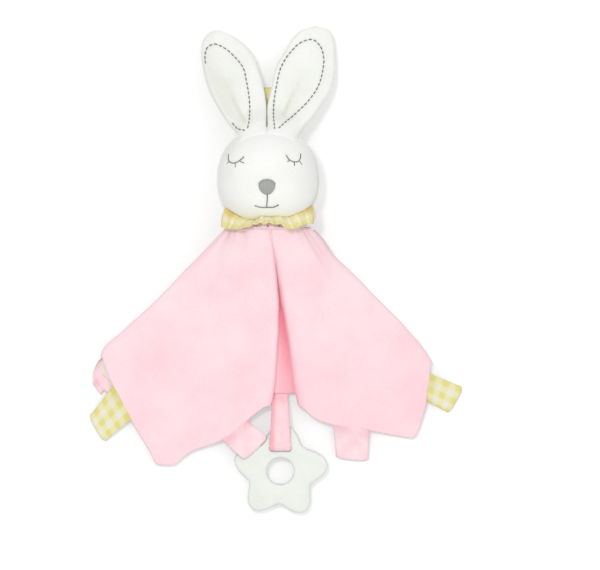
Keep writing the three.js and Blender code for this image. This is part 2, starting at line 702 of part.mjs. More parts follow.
function tag({ name, corners, heights, material }) {
  const [rootA, rootB, outerA, outerB] = corners;
  const edgeA = outerA.clone().sub(rootA);
  const edgeB = outerB.clone().sub(rootB);
  const length = (edgeA.length() + edgeB.length()) / 2;
  const steps = 6;
  const bendCentre = new THREE.Vector2(length - tagHalf, 0);
  const rootCentre = new THREE.Vector2();
  const layer = (up) =>
    Array.from({ length: steps + 1 }, (_, i) => {
      const along = mix(0, length - tagHalf, i / steps);
      return [new THREE.Vector2(along, up * tagHalf), new THREE.Vector2(along, (up * ribbonSlit) / 2)];
    });
  const rootPoint = (turn) => around(rootCentre, tagHalf, turn);
  const end = (turn) => [rootPoint(turn), rootPoint(seamTurn * Math.sign(turn))];
  const bend = [60, 20, -20, -60].map((turn) => [
    around(bendCentre, tagHalf, turn),
    around(bendCentre, ribbonSlit / 2, turn),
  ]);
  const pairs = [end(135), ...layer(1), ...bend, ...layer(-1).reverse(), end(-135)];
  const climb = (share) => {
    const place = share * (heights.length - 1);
    const index = Math.min(heights.length - 2, Math.floor(place));
    return mix(heights[index], heights[index + 1], place - index);
  };
  const place = ({ x: along, y: up }, across) => {
    const share = along / length;
    const root = rootA.clone().lerp(rootB, across);
    const flat = root.lerp(outerA.clone().lerp(outerB, across), share);
    return new THREE.Vector3(flat.x, flat.y, up + climb(clamp(share, 0, 1)));
  };
  return piece(name, ribbon(pairs, place, false), material);
}

// A point beside the hem, as a share of the blanket's side, moved outwards by the tag's own clearance.
const hemTagCorners = (shares) => shares.map(([x, y]) => new THREE.Vector2(x * blanketSide, y * blanketSide));
const tagRest = tagHalf + gap; // middle of a ribbon lying on the table
const seamHeight = (lift) => mix(cornerTop, flapTop, lift) - clothThickness / 2;
const tagPlaces = [
  {
    name: "tag_gingham_left",
    corners: hemTagCorners([[-0.4222, -0.2352], [-0.3742, -0.3275], [-0.487, -0.319], [-0.439, -0.3925]]),
    heights: [seamHeight(0.15), mix(seamHeight(0.15), tagRest, 0.8), tagRest],
    material: yellowGingham,
  },
  {
    name: "tag_gingham_right",
    corners: hemTagCorners([[0.4418, -0.2], [0.4358, -0.2768], [0.532, -0.2385], [0.493, -0.307]]),
    heights: [seamHeight(0.25), mix(seamHeight(0.25), tagRest, 0.8), tagRest],
    material: yellowGingham,
  },
  {
    name: "tag_pink_right",
    corners: hemTagCorners([[0.177, -0.3412], [0.275, -0.3572], [0.186, -0.4312], [0.273, -0.4392]]),
    heights: [seamHeight(0.35), mix(seamHeight(0.35), tagRest, 0.8), tagRest],
    material: pinkRibbon,
  },
];
// The lower left tag lies over an arm of the teether
const starSlotY = pleatHemY - gap - strapLength + strapThickness;
const starCentreY = starSlotY - starSlotWidth / 2 - starSlotWall - starHoleRadius;
const starCentreX = 0.034 * blanketSide;
const starLowestShare = Math.max(...starArmTurns.map((turn) => -Math.sin(turn * degree)));
const starReach = starSlotY - starCentreY + starRadius * starLowestShare;
const starTilt = Math.asin((strapThickness + 2 * gap) / starReach);
const starTopZ = strapThickness + 2 * gap + starThickness;
const overStar = starTopZ + 2 * gap + tagHalf;

function tagOverStar() {
  const seam = seamHeight(0.5);
  return {
    name: "tag_pink_left",
    corners: hemTagCorners([[-0.1217, -0.3826], [-0.0525, -0.329], [-0.064, -0.4352], [0.0005, -0.3735]]),
    heights: [seam, overStar, overStar, overStar],
    material: pinkRibbon,
  };
}

function rearTag() {
  const rest = velourThickness + gap + backingThickness / 2 + tagHalf;
  return {
    name: "tag_pink_rear",
    corners: hemTagCorners([[-0.4685, -0.2168], [-0.4465, -0.2462], [-0.4805, -0.2285], [-0.4575, -0.2595]]),
    heights: [rest, tagHalf, tagHalf],
    material: pinkRibbon,
  };
}

// Hanging loop: a ribbon loop sewn to the back of the head, lying open on the table behind the ears
const loopSeatAngle = 24 * degree; // from the crown towards the back
const loopCentreX = 0;

function makeHangingLoop() {
  const seatY = headCentreY + headCrownHeight * Math.cos(loopSeatAngle);
  const seatZ = headAxisZ - headHalfDepth * Math.sin(loopSeatAngle);
  const slopeX = Math.cos(loopSeatAngle) / headCrownHeight;
  const slopeY = -Math.sin(loopSeatAngle) / headHalfDepth;
  const normal = new THREE.Vector2(slopeX, slopeY).setLength(tagHalf + gap + gap / 2);
  const root = new THREE.Vector2(seatY, seatZ).add(normal);
  const endY = root.x + loopReach;
  const half = loopOpening / 2 + ribbonThickness;
  const restZ = half + gap;
  const knee = mix(root.x, endY, 0.48);
  const slope = new THREE.Vector2(knee - root.x, restZ - root.y).normalize();
  const across = new THREE.Vector2(-slope.y, slope.x);
  const kneePoint = new THREE.Vector2(knee, restZ);
  const at = (along, up) => kneePoint.clone().addScaledVector(slope, -along).addScaledVector(across, up);
  const rootLength = root.distanceTo(kneePoint);
  const inside = loopOpening / 2;
  const layer = (up) => {
    const swell = mix(tagHalf, half, 0.45);
    const flat = (y) => [new THREE.Vector2(y, restZ + up * half), new THREE.Vector2(y, restZ + up * inside)];
    return [
      [
        at(rootLength + 0.7 * tagHalf, up * 0.7 * tagHalf),
        at(rootLength + 0.9 * tagHalf, (up * ribbonSlit) / 2),
      ],
      [at(rootLength, up * tagHalf), at(rootLength, (up * ribbonSlit) / 2)],
      [at(rootLength - 3 * tagHalf, up * tagHalf), at(rootLength - 3 * tagHalf, (up * ribbonSlit) / 2)],
      [at(rootLength / 2, up * swell), at(rootLength / 2, up * (swell - ribbonThickness))],
      flat(mix(knee, endY, 0.15)),
      flat(endY - half),
    ];
  };
  const bendCentre = new THREE.Vector2(endY - half, restZ);
  const bendPair = (turn) => [around(bendCentre, half, turn), around(bendCentre, inside, turn)];
  const bend = [60, 20, -20, -60].map(bendPair);
  const place = ({ x: y, y: z }, width) => new THREE.Vector3(loopCentreX + (width - 0.5) * loopWidth, y, z);
  const pairs = [...layer(1), ...bend, ...layer(-1).reverse()];
  return piece("hanging_loop", ribbon(pairs, place, false), yellowGingham);
}

// Strap: a closed loop of ribbon from the pleat's hem, over the star's arm, through its slot and back under
const strapHalf = strapThickness + ribbonSlit / 2;
const strapRootY = pleatHemY - gap - strapHalf;
const strapRootZ = pleatFloorTop - clothThickness / 2;
const strapRootCentreX = pleatCentreX - strapRootOffset;
const armTipY = starCentreY + starRadius;

function makeStrap() {
  const armTopAt = (y) => starTopZ + (y - starSlotY) * Math.tan(starTilt);
  const bendY = starSlotY - strapThickness / 2;
  const front = armTopAt(armTipY) + gap;
  const frontAtBend = armTopAt(starSlotY) + gap;
  const ramp = mix(strapRootY, armTipY, 0.4);
  const rampTop = mix(strapRootZ + strapHalf, front + strapThickness, 0.5);
  const heel = mix(strapRootY, ramp, 0.5);
  const heelBottom = mix(strapRootZ - strapHalf, 0, 0.6);
  const pitY = starSlotY + strapThickness / 2;
  const seamY = strapRootY - strapHalf;
  const seam = [-60, -20, 20, 60].map((turn) => [
    around(new THREE.Vector2(strapRootY, strapRootZ), strapHalf, turn),
    new THREE.Vector2(seamY, strapRootZ),
  ]);
  const corners = [
    [[strapRootY, strapRootZ + strapHalf], [seamY - strapThickness, strapRootZ + ribbonSlit / 2]],
    [[ramp, rampTop], [ramp, rampTop - strapThickness]],
    [[armTipY + gap, front + strapThickness], [armTipY + gap, front]],
    [[starSlotY + strapThickness, frontAtBend + strapThickness], [starSlotY + strapThickness, frontAtBend]],
    [[starSlotY, frontAtBend + 0.8 * strapThickness], [pitY, frontAtBend - 0.1 * strapThickness]],
    [[bendY, frontAtBend], [pitY, frontAtBend - 0.5 * strapThickness]],
    [[bendY, strapThickness], [pitY, 1.5 * strapThickness]],
    [[starSlotY, 0.2 * strapThickness], [pitY, 1.1 * strapThickness]],
    [[starSlotY + strapThickness, 0], [starSlotY + strapThickness, strapThickness]],
    [[ramp, 0], [ramp, strapThickness]],
    [[heel, heelBottom], [heel - 0.3 * strapThickness, heelBottom + strapThickness]],
    [[strapRootY, strapRootZ - strapHalf], [seamY - strapThickness, strapRootZ - ribbonSlit / 2]],
  ].map((pair) => pair.map(([y, z]) => new THREE.Vector2(y, z)));
  const place = ({ x: y, y: z }, across) => {
    const share = clamp((strapRootY - y) / (strapRootY - starSlotY), 0, 1);
    const width = mix(strapRootWidth, strapBendWidth, share);
    return new THREE.Vector3(mix(strapRootCentreX, starCentreX, share) + (across - 0.5) * width, y, z);
  };
  return piece("teether_strap", ribbon([...corners, ...seam], place, true), pinkRibbon);
}

// Teether: a star with five round arms, a round hole in the middle and a slot for the strap in the top arm
// Radius in a direction, as a share of the way from valley to arm: a full wave between each arm and the next.
function armShare(direction) {
  const turn = direction < starArmTurns[0] ? direction + 360 : direction;
  const next = starArmTurns.findIndex((arm) => arm > turn);
  const before = next < 0 ? starArmTurns.at(-1) : starArmTurns[next - 1];
  const after = next < 0 ? starArmTurns[0] + 360 : starArmTurns[next];
  return (1 + Math.cos((2 * Math.PI * (turn - before)) / (after - before))) / 2;
}

function makeStar() {
  const sides = 60;
  const outline = (inset) => {
    const ring = [];
    for (let i = 0; i < sides; i++) {
      const angle = (i / sides) * 2 * Math.PI;
      const radius = mix(starValleyRadius, starRadius, armShare(angle / degree)) - inset;
      ring.push([radius * Math.cos(angle), radius * Math.sin(angle)]);
    }
    return ring;
  };
  const edge = [];
  for (const turn of [90, 45, 0]) {
    edge.push([starEdgeRadius * (1 - Math.cos(turn * degree)), Math.sin(turn * degree)]);
  }
  const level = (inset, z) => outline(inset).map(([x, y]) => new THREE.Vector3(x, y, z));
  const lower = edge.map(([inset, up]) => level(inset, starEdgeRadius * (1 - up)));
  const top = (up) => starThickness - starEdgeRadius * (1 - up);
  const upper = [...edge].reverse().map(([inset, up]) => level(inset, top(up)));
  const body = loft([...lower, ...upper]);
  const holeFlare = starEdgeRadius / 2;
  const bore = [
    [0, -overrun], [starHoleRadius + holeFlare, -overrun], [starHoleRadius + holeFlare, 0],
    [starHoleRadius, holeFlare], [starHoleRadius, starThickness - holeFlare],
    [starHoleRadius + holeFlare, starThickness], [starHoleRadius + holeFlare, starThickness + overrun],
    [0, starThickness + overrun],
  ].map(([r, z]) => new THREE.Vector2(r, z));
  const hole = new THREE.LatheGeometry(bore, 28).rotateX(Math.PI / 2);
  const slot = new THREE.BoxGeometry(starSlotLength, starSlotWidth, starThickness + 2 * overrun);
  slot.translate(0, starSlotY - starCentreY, starThickness / 2);
  const star = piece("teether_star", body.subtract(solidOf(hole)).subtract(solidOf(slot)), silicone);
  const holder = new THREE.Group();
  holder.add(star);
  holder.rotation.x = starTilt;
  const slotReach = starSlotY - starCentreY;
  holder.position.set(starCentreX, starSlotY - slotReach * Math.cos(starTilt), 0);
  holder.position.z = strapThickness + 2 * gap - slotReach * Math.sin(starTilt);
  return holder;
}

const lovey = new THREE.Group();
lovey.add(...makeBlanket());
lovey.add(makeNeckThread(), makeCollar());
lovey.add(...makeHead(), ...makeFace());
for (const side of ["left", "right"]) lovey.add(...new Ear(side).pieces());
lovey.add(makeHangingLoop(), makeStrap(), makeStar());
for (const place of [...tagPlaces, tagOverStar(), rearTag()]) lovey.add(tag(place));

export default lovey;
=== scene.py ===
"""Looks of a comfort blanket lovey: a plush rabbit's head on a gathered square of velour.

Every length in the dataclasses is in millimetres and turned to metres when a mesh is written.
+X is to the right as seen from above, +Y runs towards the ears and +Z rises off the table.
"""

import json
import logging
import math
from dataclasses import dataclass
from enum import Enum
from typing import Sequence

import bmesh
import bpy
import numpy as np
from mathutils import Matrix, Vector
from numpy.typing import NDArray

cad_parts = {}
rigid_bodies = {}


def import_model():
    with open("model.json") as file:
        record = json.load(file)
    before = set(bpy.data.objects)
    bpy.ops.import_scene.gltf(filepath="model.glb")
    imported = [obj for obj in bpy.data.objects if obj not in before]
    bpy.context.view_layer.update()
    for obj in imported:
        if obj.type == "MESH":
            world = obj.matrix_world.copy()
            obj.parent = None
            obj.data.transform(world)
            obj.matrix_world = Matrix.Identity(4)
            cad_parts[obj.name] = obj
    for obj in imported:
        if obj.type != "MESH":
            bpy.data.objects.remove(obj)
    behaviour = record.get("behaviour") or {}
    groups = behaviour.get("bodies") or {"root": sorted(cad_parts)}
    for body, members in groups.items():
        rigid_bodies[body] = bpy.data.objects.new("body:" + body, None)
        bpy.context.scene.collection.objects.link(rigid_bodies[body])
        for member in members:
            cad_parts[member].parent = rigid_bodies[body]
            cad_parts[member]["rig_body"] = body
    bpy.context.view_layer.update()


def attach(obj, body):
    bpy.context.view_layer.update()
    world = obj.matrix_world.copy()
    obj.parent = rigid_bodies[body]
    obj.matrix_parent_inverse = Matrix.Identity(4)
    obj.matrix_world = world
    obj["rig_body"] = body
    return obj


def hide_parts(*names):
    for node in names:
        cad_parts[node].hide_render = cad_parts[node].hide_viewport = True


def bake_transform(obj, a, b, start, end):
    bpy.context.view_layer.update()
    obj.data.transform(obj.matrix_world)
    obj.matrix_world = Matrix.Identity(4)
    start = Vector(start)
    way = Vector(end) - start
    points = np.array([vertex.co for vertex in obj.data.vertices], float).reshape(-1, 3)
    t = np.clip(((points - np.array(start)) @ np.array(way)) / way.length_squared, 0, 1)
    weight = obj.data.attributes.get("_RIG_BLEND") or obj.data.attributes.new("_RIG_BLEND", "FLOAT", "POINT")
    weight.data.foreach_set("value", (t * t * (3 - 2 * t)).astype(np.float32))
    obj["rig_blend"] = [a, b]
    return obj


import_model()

Array = NDArray[np.float64]
Points2 = tuple[tuple[float, float], ...]
Points3 = tuple[tuple[float, float, float], ...]
Socket = bpy.types.NodeSocket
MM = 0.001
TURN = 2 * math.pi
log = logging.getLogger("lovey")


# Numbers and curves


def mix(a: Array | float, b: Array | float, t: Array | float) -> Array | float:
    """The value a share t of the way from a to b."""
    return a + (b - a) * t


def smooth(low: float, high: float, value: Array | float) -> Array:
    """An S-shaped rise from 0 at low to 1 at high."""
    t = np.clip((np.asarray(value, float) - low) / (high - low), 0, 1)
    return t * t * (3 - 2 * t)


def bell(offset: Array, width: float) -> Array:
    """A bell curve, e to the minus square of offset over width: 1 at no offset."""
    return np.exp(-((offset / width) ** 2))


def lengths(points: Array) -> Array:
    """How far along a line each of its points lies, from 0 at the first."""
    return np.concatenate([[0], np.cumsum(np.linalg.norm(np.diff(points, axis=0), axis=1))])


def grid(*parts: Array) -> Array:
    """Coordinates of any matching shapes, spread over one grid and stacked on its last axis."""
    return np.stack(np.broadcast_arrays(*parts), -1)


def hermite(points: Array, knots: Array, at: Array, slopes: Array) -> Array:
    """Cubic pieces through points, from their slopes at the knots.

    Args:
        points: values at the knots, the knots along the first axis.
        knots: rising numbers, one per point.
        at: where to read the curve.
        slopes: change of the value per unit of knot, at each point.

    Returns:
        The curve's values at the places asked for.
    """
    i = np.clip(np.searchsorted(knots, at, side="right") - 1, 0, len(knots) - 2)
    span = knots[i + 1] - knots[i]
    shape = (-1,) + (1,) * (points.ndim - 1)
    t, h = ((at - knots[i]) / span).reshape(shape), span.reshape(shape)
    a, b, m, n = points[i], points[i + 1], slopes[i] * h, slopes[i + 1] * h
    return a + t * m + t * t * (3 * (b - a) - 2 * m - n) + t**3 * (2 * (a - b) + m + n)


def even_slopes(points: Array, knots: Array) -> Array:
    """Slopes that never let the curve pass the points' own highs and lows: harmonic means of both sides.

    Args:
        points: values at the knots, the knots along the first axis.
        knots: rising numbers, one per point.

    Returns:
        One slope per point.
    """
    steps = np.diff(points, axis=0) / np.diff(knots).reshape((-1,) + (1,) * (points.ndim - 1))
    before, after = steps[:-1], steps[1:]
    same = before * after > 0
    inner = np.where(same, 2 * before * after / np.where(same, before + after, 1), 0)
    return np.concatenate([steps[:1], inner, steps[-1:]])


def evenly(points: Array, knots: Array, at: Array) -> Array:
    """A curve through points at the knots, read elsewhere, that never swings past them."""
    return hermite(points, knots, at, even_slopes(points, knots))


def through(points: Sequence[Sequence[float]] | Array, at: Array) -> Array:
    """A smooth curve through points, read at shares of its length.

    Args:
        points: the places that the curve passes.
        at: shares from 0 to 1.

    Returns:
        One point per share.
    """
    p = np.asarray(points, float)
    knots = lengths(p)
    return hermite(p, knots, np.asarray(at, float) * knots[-1], np.gradient(p, knots, axis=0))


def ripple(points: Array, wavelength: float, seed: int) -> Array:
    """Soft unevenness from -1 to 1: seven plane waves of nearly one wavelength in seeded directions, added.

    Args:
        points: places in millimetres, coordinates on the last axis.
        wavelength: the waves' length in millimetres.
        seed: chooses the directions and phases.

    Returns:
        One number per point.
    """
    rng = np.random.default_rng(seed)
    ways = rng.normal(size=(7, 3))
    ways *= (TURN / wavelength) / np.linalg.norm(ways, axis=1, keepdims=True)
    ways *= rng.uniform(0.7, 1.4, size=(7, 1))
    phases = rng.uniform(0, TURN, 7)
    return np.sin(points @ ways.T + phases).sum(-1) / 4


def grid_normals(points: Array) -> Array:
    """Unit normals of a closed grid: the cross product of its slope down the rows and its slope along them.

    Args:
        points: rows by columns by three, the last column next to the first.

    Returns:
        One normal per point.
    """
    along = np.roll(points, -1, axis=1) - np.roll(points, 1, axis=1)
    normal = np.cross(np.gradient(points, axis=0), along)
    return normal / np.maximum(np.linalg.norm(normal, axis=-1, keepdims=True), 1e-9)


# Meshes


@dataclass
class Surface:
    """A grid of points in millimetres, with how it closes and a flat place for each point.

    Attributes:
        points: rows by columns by three.
        around: whether the last column joins the first.
        rows_around: whether the last row joins the first.
        caps: whether the first and last rows are filled with a fan.
        uv: flat places in metres, rows by columns by two, or None.
        fold: how much painted shade each point takes, deepest in a fold, from 0 to 1, rows by columns, or None.
    """

    points: Array
    around: bool = False
    rows_around: bool = False
    caps: bool = False
    uv: Array | None = None
    fold: Array | None = None

    def mesh(self, name: str) -> bpy.types.Object:
        """Writes the grid's quads, and its fans, into a new smooth-shaded object.

        Args:
            name: the object's name.

        Returns:
            The object, linked to the scene.
        """
        rows, columns = self.points.shape[:2]
        r = np.arange(rows if self.rows_around else rows - 1)
        c = np.arange(columns if self.around else columns - 1)
        i, j = np.meshgrid(r, c, indexing="ij")
        k, m = (i + 1) % rows, (j + 1) % columns
        quads = np.stack([i * columns + j, i * columns + m, k * columns + m, k * columns + j], -1)
        vertices = self.points.reshape(-1, 3) * MM
        faces = quads.reshape(-1, 4).tolist()
        if self.caps:
            count = len(vertices)
            centres = [self.points[0].mean(0) * MM, self.points[-1].mean(0) * MM]
            vertices = np.concatenate([vertices, centres])
            last = (rows - 1) * columns
            faces += np.stack([m[0], j[0], np.full(len(c), count)], -1).tolist()
            faces += np.stack([last + j[0], last + m[0], np.full(len(c), count + 1)], -1).tolist()
        data = bpy.data.meshes.new(name)
        data.from_pydata(vertices.tolist(), [], faces)
        data.shade_smooth()
        if self.uv is not None:
            loops = np.zeros(len(data.loops), np.int32)
            data.loops.foreach_get("vertex_index", loops)
            flat = np.concatenate([self.uv.reshape(-1, 2), np.zeros((2, 2))])
            layer = data.uv_layers.new(name="cloth")
            layer.data.foreach_set("uv", flat[loops].astype(np.float32).ravel())
        # The painted shade goes on each point as the fold attribute.
        depth = np.zeros(len(vertices), np.float32)
        if self.fold is not None:
            depth[: rows * columns] = np.broadcast_to(self.fold, (rows, columns)).ravel()
        data.attributes.new("fold", "FLOAT", "POINT").data.foreach_set("value", depth)
        return linked(name, data)


def linked(name: str, data: bpy.types.ID) -> bpy.types.Object:
    """A new object with its data, linked to the scene.

    Args:
        name: the object's name.
        data: its mesh, camera or lamp.

    Returns:
        The object.
    """
    made = bpy.data.objects.new(name, data)
    bpy.context.scene.collection.objects.link(made)
    return made


def many_tubes(paths: Sequence[Array], radius: float, sides: int = 8) -> list[Surface]:
    """Round tubes with round ends along each path: rings square to the path, drawn in at both ends.

    Args:
        paths: one array of points per tube.
        radius: the tubes' radius.
        sides: points around each ring.

    Returns:
        One closed surface per path.
    """
    turn = np.linspace(0, TURN, sides, endpoint=False)
    made = []
    for path in paths:
        way = np.gradient(path, axis=0)
        way /= np.linalg.norm(way, axis=1, keepdims=True)
        side = np.cross(way, [0.13, 0.21, 0.97])
        side /= np.linalg.norm(side, axis=1, keepdims=True)
        up = np.cross(side, way)
        ends = np.minimum(np.arange(len(path)), np.arange(len(path))[::-1])
        reach = radius * np.where(ends == 0, 0.55, 1.0)[:, None, None]
        ring = side[:, None] * np.cos(turn)[None, :, None] + up[:, None] * np.sin(turn)[None, :, None]
        made.append(Surface(path[:, None] + ring * reach, around=True, caps=True))
    return made


def joined(name: str, surfaces: Sequence[Surface]) -> bpy.types.Object:
    """Several surfaces in one object, with their normals turned outwards.

    Args:
        name: the object's name.
        surfaces: the closed surfaces.

    Returns:
        The object.
    """
    parts = [s.mesh(f"{name}_{i}") for i, s in enumerate(surfaces)]
    with bpy.context.temp_override(active_object=parts[0], selected_editable_objects=parts):
        bpy.ops.object.join()
    parts[0].name = name
    return outwards(parts[0])


def outwards(made: bpy.types.Object) -> bpy.types.Object:
    """Turns a closed mesh's faces to point out.

    Args:
        made: the object.

    Returns:
        The same object.
    """
    shape = bmesh.new()
    shape.from_mesh(made.data)
    bmesh.ops.recalc_face_normals(shape, faces=shape.faces)
    shape.to_mesh(made.data)
    shape.free()
    made.data.shade_smooth()
    return made


def thicken(made: bpy.types.Object, thickness: float) -> None:
    """Gives a sheet its thickness, half on each side of its surface.

    Args:
        made: the sheet.
        thickness: millimetres from face to face.
    """
    wall = made.modifiers.new("cloth", "SOLIDIFY")
    wall.thickness = thickness * MM
    wall.offset = 0.0
    wall.use_even_offset = False


# Finishes


def linear(code: str) -> tuple[float, float, float, float]:
    """An sRGB hex colour as linear light.

    Args:
        code: a hash and six hex digits.

    Returns:
        Red, green, blue and alpha.
    """
    values = [int(code[i : i + 2], 16) / 255 for i in (1, 3, 5)]
    red, green, blue = (v / 12.92 if v <= 0.04045 else ((v + 0.055) / 1.055) ** 2.4 for v in values)
    return red, green, blue, 1.0


def add(
    tree: bpy.types.NodeTree,
    kind: str,
    inputs: dict | None = None,
    stops: Sequence[tuple[float, str]] = (),
    **settings: object,
) -> bpy.types.Node:
    """Adds one node, sets it and links it.

    Args:
        tree: the material's nodes.
        kind: the node's type without its ShaderNode prefix.
        inputs: by input name or number, a value, or an output socket to link.
        stops: places and hex colours along the node's colour ramp, where it has one.
        settings: the node's own properties.

    Returns:
        The node.
    """
    made = tree.nodes.new("ShaderNode" + kind)
    for name, value in settings.items():
        setattr(made, name, value)
    for name, value in (inputs or {}).items():
        if isinstance(value, Socket):
            tree.links.new(value, made.inputs[name])
        else:
            made.inputs[name].default_value = value
    if stops:
        spots = made.color_ramp.elements
        while len(spots) < len(stops):
            spots.new(0.5)
        for spot, (place, code) in zip(spots, stops):
            spot.position = place
        for spot, (place, code) in zip(spots, stops):
            spot.color = linear(code)
    return made


def folded(tree: bpy.types.NodeTree, colour: Socket, deep: str) -> Socket:
    """Paints shade: turns a colour to its deeper one where the mesh's fold attribute says that the point lies
    in shade.

    Args:
        tree: the material's nodes.
        colour: the colour outside the folds.
        deep: the hex colour of the painted shade deep in a fold.

    Returns:
        The mixed colour.
    """
    inside = add(tree, "Attribute", attribute_name="fold").outputs["Fac"]
    return add(tree, "MixRGB", {"Fac": inside, "Color1": colour, "Color2": linear(deep)}).outputs["Color"]


def coat(tree: bpy.types.NodeTree, colour: Socket, height: Socket, relief: tuple, surface: dict) -> Socket:
    """A surface whose bumps follow a height.

    Args:
        tree: the material's nodes.
        colour: the base colour.
        height: the height of the bumps, from 0 to 1.
        relief: how many millimetres a height of 1 is, and the bumps' strength.
        surface: the other inputs of the surface's shader.

    Returns:
        The shader.
    """
    bump = add(tree, "Bump", {"Height": height, "Distance": relief[0] * MM, "Strength": relief[1]})
    basis = {"Base Color": colour, "Normal": bump.outputs["Normal"]}
    return add(tree, "BsdfPrincipled", {**basis, **surface}).outputs["BSDF"]


class Finish:
    """A material made once and shared by the pieces that have it."""

    name: str
    slot: str

    def material(self) -> bpy.types.Material:
        """The finish's material, made on first use.

        Returns:
            The material.
        """
        found = bpy.data.materials.get(self.name)
        if found is None:
            found = bpy.data.materials.new(self.name)
            found.use_nodes = True
            found.node_tree.nodes.clear()
            add(found.node_tree, "OutputMaterial", {"Surface": self.shader(found.node_tree)})
        return found

    def shader(self, tree: bpy.types.NodeTree) -> Socket:
        """Builds the finish's nodes and returns the shader's output."""
        raise NotImplementedError

    def dress(self, made: bpy.types.Object) -> bpy.types.Object:
        """Puts the finish on a piece.

        Args:
            made: the piece.

        Returns:
            The same piece.
        """
        made.data.materials.clear()
        made.data.materials.append(self.material())
        return made


@dataclass(frozen=True)
class Pile(Finish):
    """Knitted pile fabric, sheared short: soft grain, a pale bloom at grazing angles and brushed patches."""

    name: str
    slot: str
    light: str  # where the pile stands towards the eye
    deep: str  # where it is brushed away
    crease: str  # painted shade in the folds, pinker where light goes from pile to pile
    grain: float = 1.1  # between tufts; real pile is 0.3, drawn coarser so that it shows in the render
    patch: float = 26.0  # across a brushed patch
    sheen: float = 0.35  # strength of the bloom
    depth: float = 0.22  # height of the grain

    def shader(self, tree: bpy.types.NodeTree) -> Socket:
        """Two noises: a wide one tints the patches, a fine one raises the tufts.

        Args:
            tree: the material's nodes.

        Returns:
            The shader.
        """
        place = add(tree, "TexCoord").outputs["Object"]
        wide = {"Vector": place, "Scale": 1 / (self.patch * MM), "Detail": 3.0}
        fine = {"Vector": place, "Scale": 1 / (self.grain * MM), "Detail": 2.0, "Roughness": 0.7}
        patches, tufts = (add(tree, "TexNoise", noise).outputs["Fac"] for noise in (wide, fine))
        tone = add(tree, "MixRGB", {"Fac": 0.4, "Color1": patches, "Color2": tufts})
        stops = [(0.36, self.deep), (0.58, self.light)]
        colour = add(tree, "ValToRGB", {"Fac": tone.outputs["Color"]}, stops).outputs["Color"]
        surface = {"Roughness": 0.92, "Sheen Weight": self.sheen, "Sheen Roughness": 0.45, "IOR": 1.45}
        surface["Specular IOR Level"] = 0.2
        # The fold attribute mixes in the painted shade.
        return coat(tree, folded(tree, colour, self.crease), tufts, (self.depth, 0.7), surface)


@dataclass(frozen=True)
class Gingham(Finish):
    """Yarn-dyed check cotton: bands of dyed warp cross bands of dyed weft, and both give the full colour."""

    name: str = "woven_check_cotton"
    slot: str = "yellow_gingham"
    dyed: str = "#E8E18E"  # where warp and weft are dyed
    half: str = "#F1EBB8"  # where one is
    plain: str = "#F1EDE2"  # where neither is
    crease: str = "#C8BC5C"  # painted shade deep in a fold
    check: float = 4.4  # across one band
    thread: float = 0.62  # between threads; real ones are 0.3, drawn coarser so that they show

    def shader(self, tree: bpy.types.NodeTree) -> Socket:
        """Square waves along the cloth's own two ways, added, with a fine weave in the bump.

        Args:
            tree: the material's nodes.

        Returns:
            The shader.
        """
        flat = add(tree, "SeparateXYZ", {"Vector": add(tree, "UVMap", uv_map="cloth").outputs["UV"]})
        bands, threads = [], []
        for way in (flat.outputs["X"], flat.outputs["Y"]):
            turn = add(tree, "Math", {0: way, 1: math.pi / (self.check * MM)}, operation="MULTIPLY")
            wave = add(tree, "Math", {0: turn.outputs[0]}, operation="SINE")
            soft = add(tree, "MapRange", {"Value": wave.outputs[0], "From Min": -0.5, "From Max": 0.5})
            bands.append(soft.outputs["Result"])
            fine = add(tree, "Math", {0: way, 1: TURN / (self.thread * MM)}, operation="MULTIPLY")
            threads.append(add(tree, "Math", {0: fine.outputs[0]}, operation="SINE").outputs[0])
        both = add(tree, "Math", {0: bands[0], 1: bands[1]}, operation="ADD")
        level = add(tree, "Math", {0: both.outputs[0], 1: 0.5}, operation="MULTIPLY").outputs[0]
        weave = add(tree, "Math", {0: threads[0], 1: threads[1]}, operation="MULTIPLY").outputs[0]
        shade = add(tree, "Math", {0: weave, 1: 0.03, 2: level}, operation="MULTIPLY_ADD")
        stops = [(0.04, self.plain), (0.46, self.half), (0.54, self.half), (0.96, self.dyed)]
        colour = add(tree, "ValToRGB", {"Fac": shade.outputs[0]}, stops).outputs["Color"]
        surface = {"Roughness": 0.82, "Sheen Weight": 0.15, "Specular IOR Level": 0.25}
        # The fold attribute mixes in the painted shade.
        return coat(tree, folded(tree, colour, self.crease), weave, (0.08, 0.6), surface)


@dataclass(frozen=True)
class Ribbon(Finish):
    """Woven polyester ribbon: fine ribs across its length and a soft satin gloss."""

    name: str = "satin_faced_ribbon"
    slot: str = "pink_ribbon"
    light: str = "#FFE3E8"  # lighter tone, and the painted highlight on the ribs
    deep: str = "#FCD7DD"  # deeper tone, and the painted shade between the ribs
    crease: str = "#F193A2"  # painted shade deep in a fold
    rib: float = 0.8  # between ribs; real ones are 0.4, drawn coarser so that they show
    cloud: float = 9.0  # across a patch of slightly other tone

    def shader(self, tree: bpy.types.NodeTree) -> Socket:
        """A wave along the ribbon shades and raises the ribs; a wide noise tones it.

        Args:
            tree: the material's nodes.

        Returns:
            The shader.
        """
        place = add(tree, "UVMap", uv_map="cloth").outputs["UV"]
        flat = add(tree, "SeparateXYZ", {"Vector": place}).outputs["X"]
        turn = add(tree, "Math", {0: flat, 1: TURN / (self.rib * MM)}, operation="MULTIPLY")
        ribs = add(tree, "Math", {0: turn.outputs[0]}, operation="SINE").outputs[0]
        tone = add(tree, "TexNoise", {"Vector": place, "Scale": 1 / (self.cloud * MM), "Detail": 3.0})
        level = add(tree, "Math", {0: ribs, 1: 0.08, 2: tone.outputs["Fac"]}, operation="MULTIPLY_ADD")
        stops = [(0.35, self.deep), (0.62, self.light)]
        colour = add(tree, "ValToRGB", {"Fac": level.outputs[0]}, stops).outputs["Color"]
        surface = {"Roughness": 0.55, "Sheen Weight": 0.25, "Specular IOR Level": 0.35}
        # The fold attribute mixes in the painted shade.
        return coat(tree, folded(tree, colour, self.crease), ribs, (0.06, 0.5), surface)


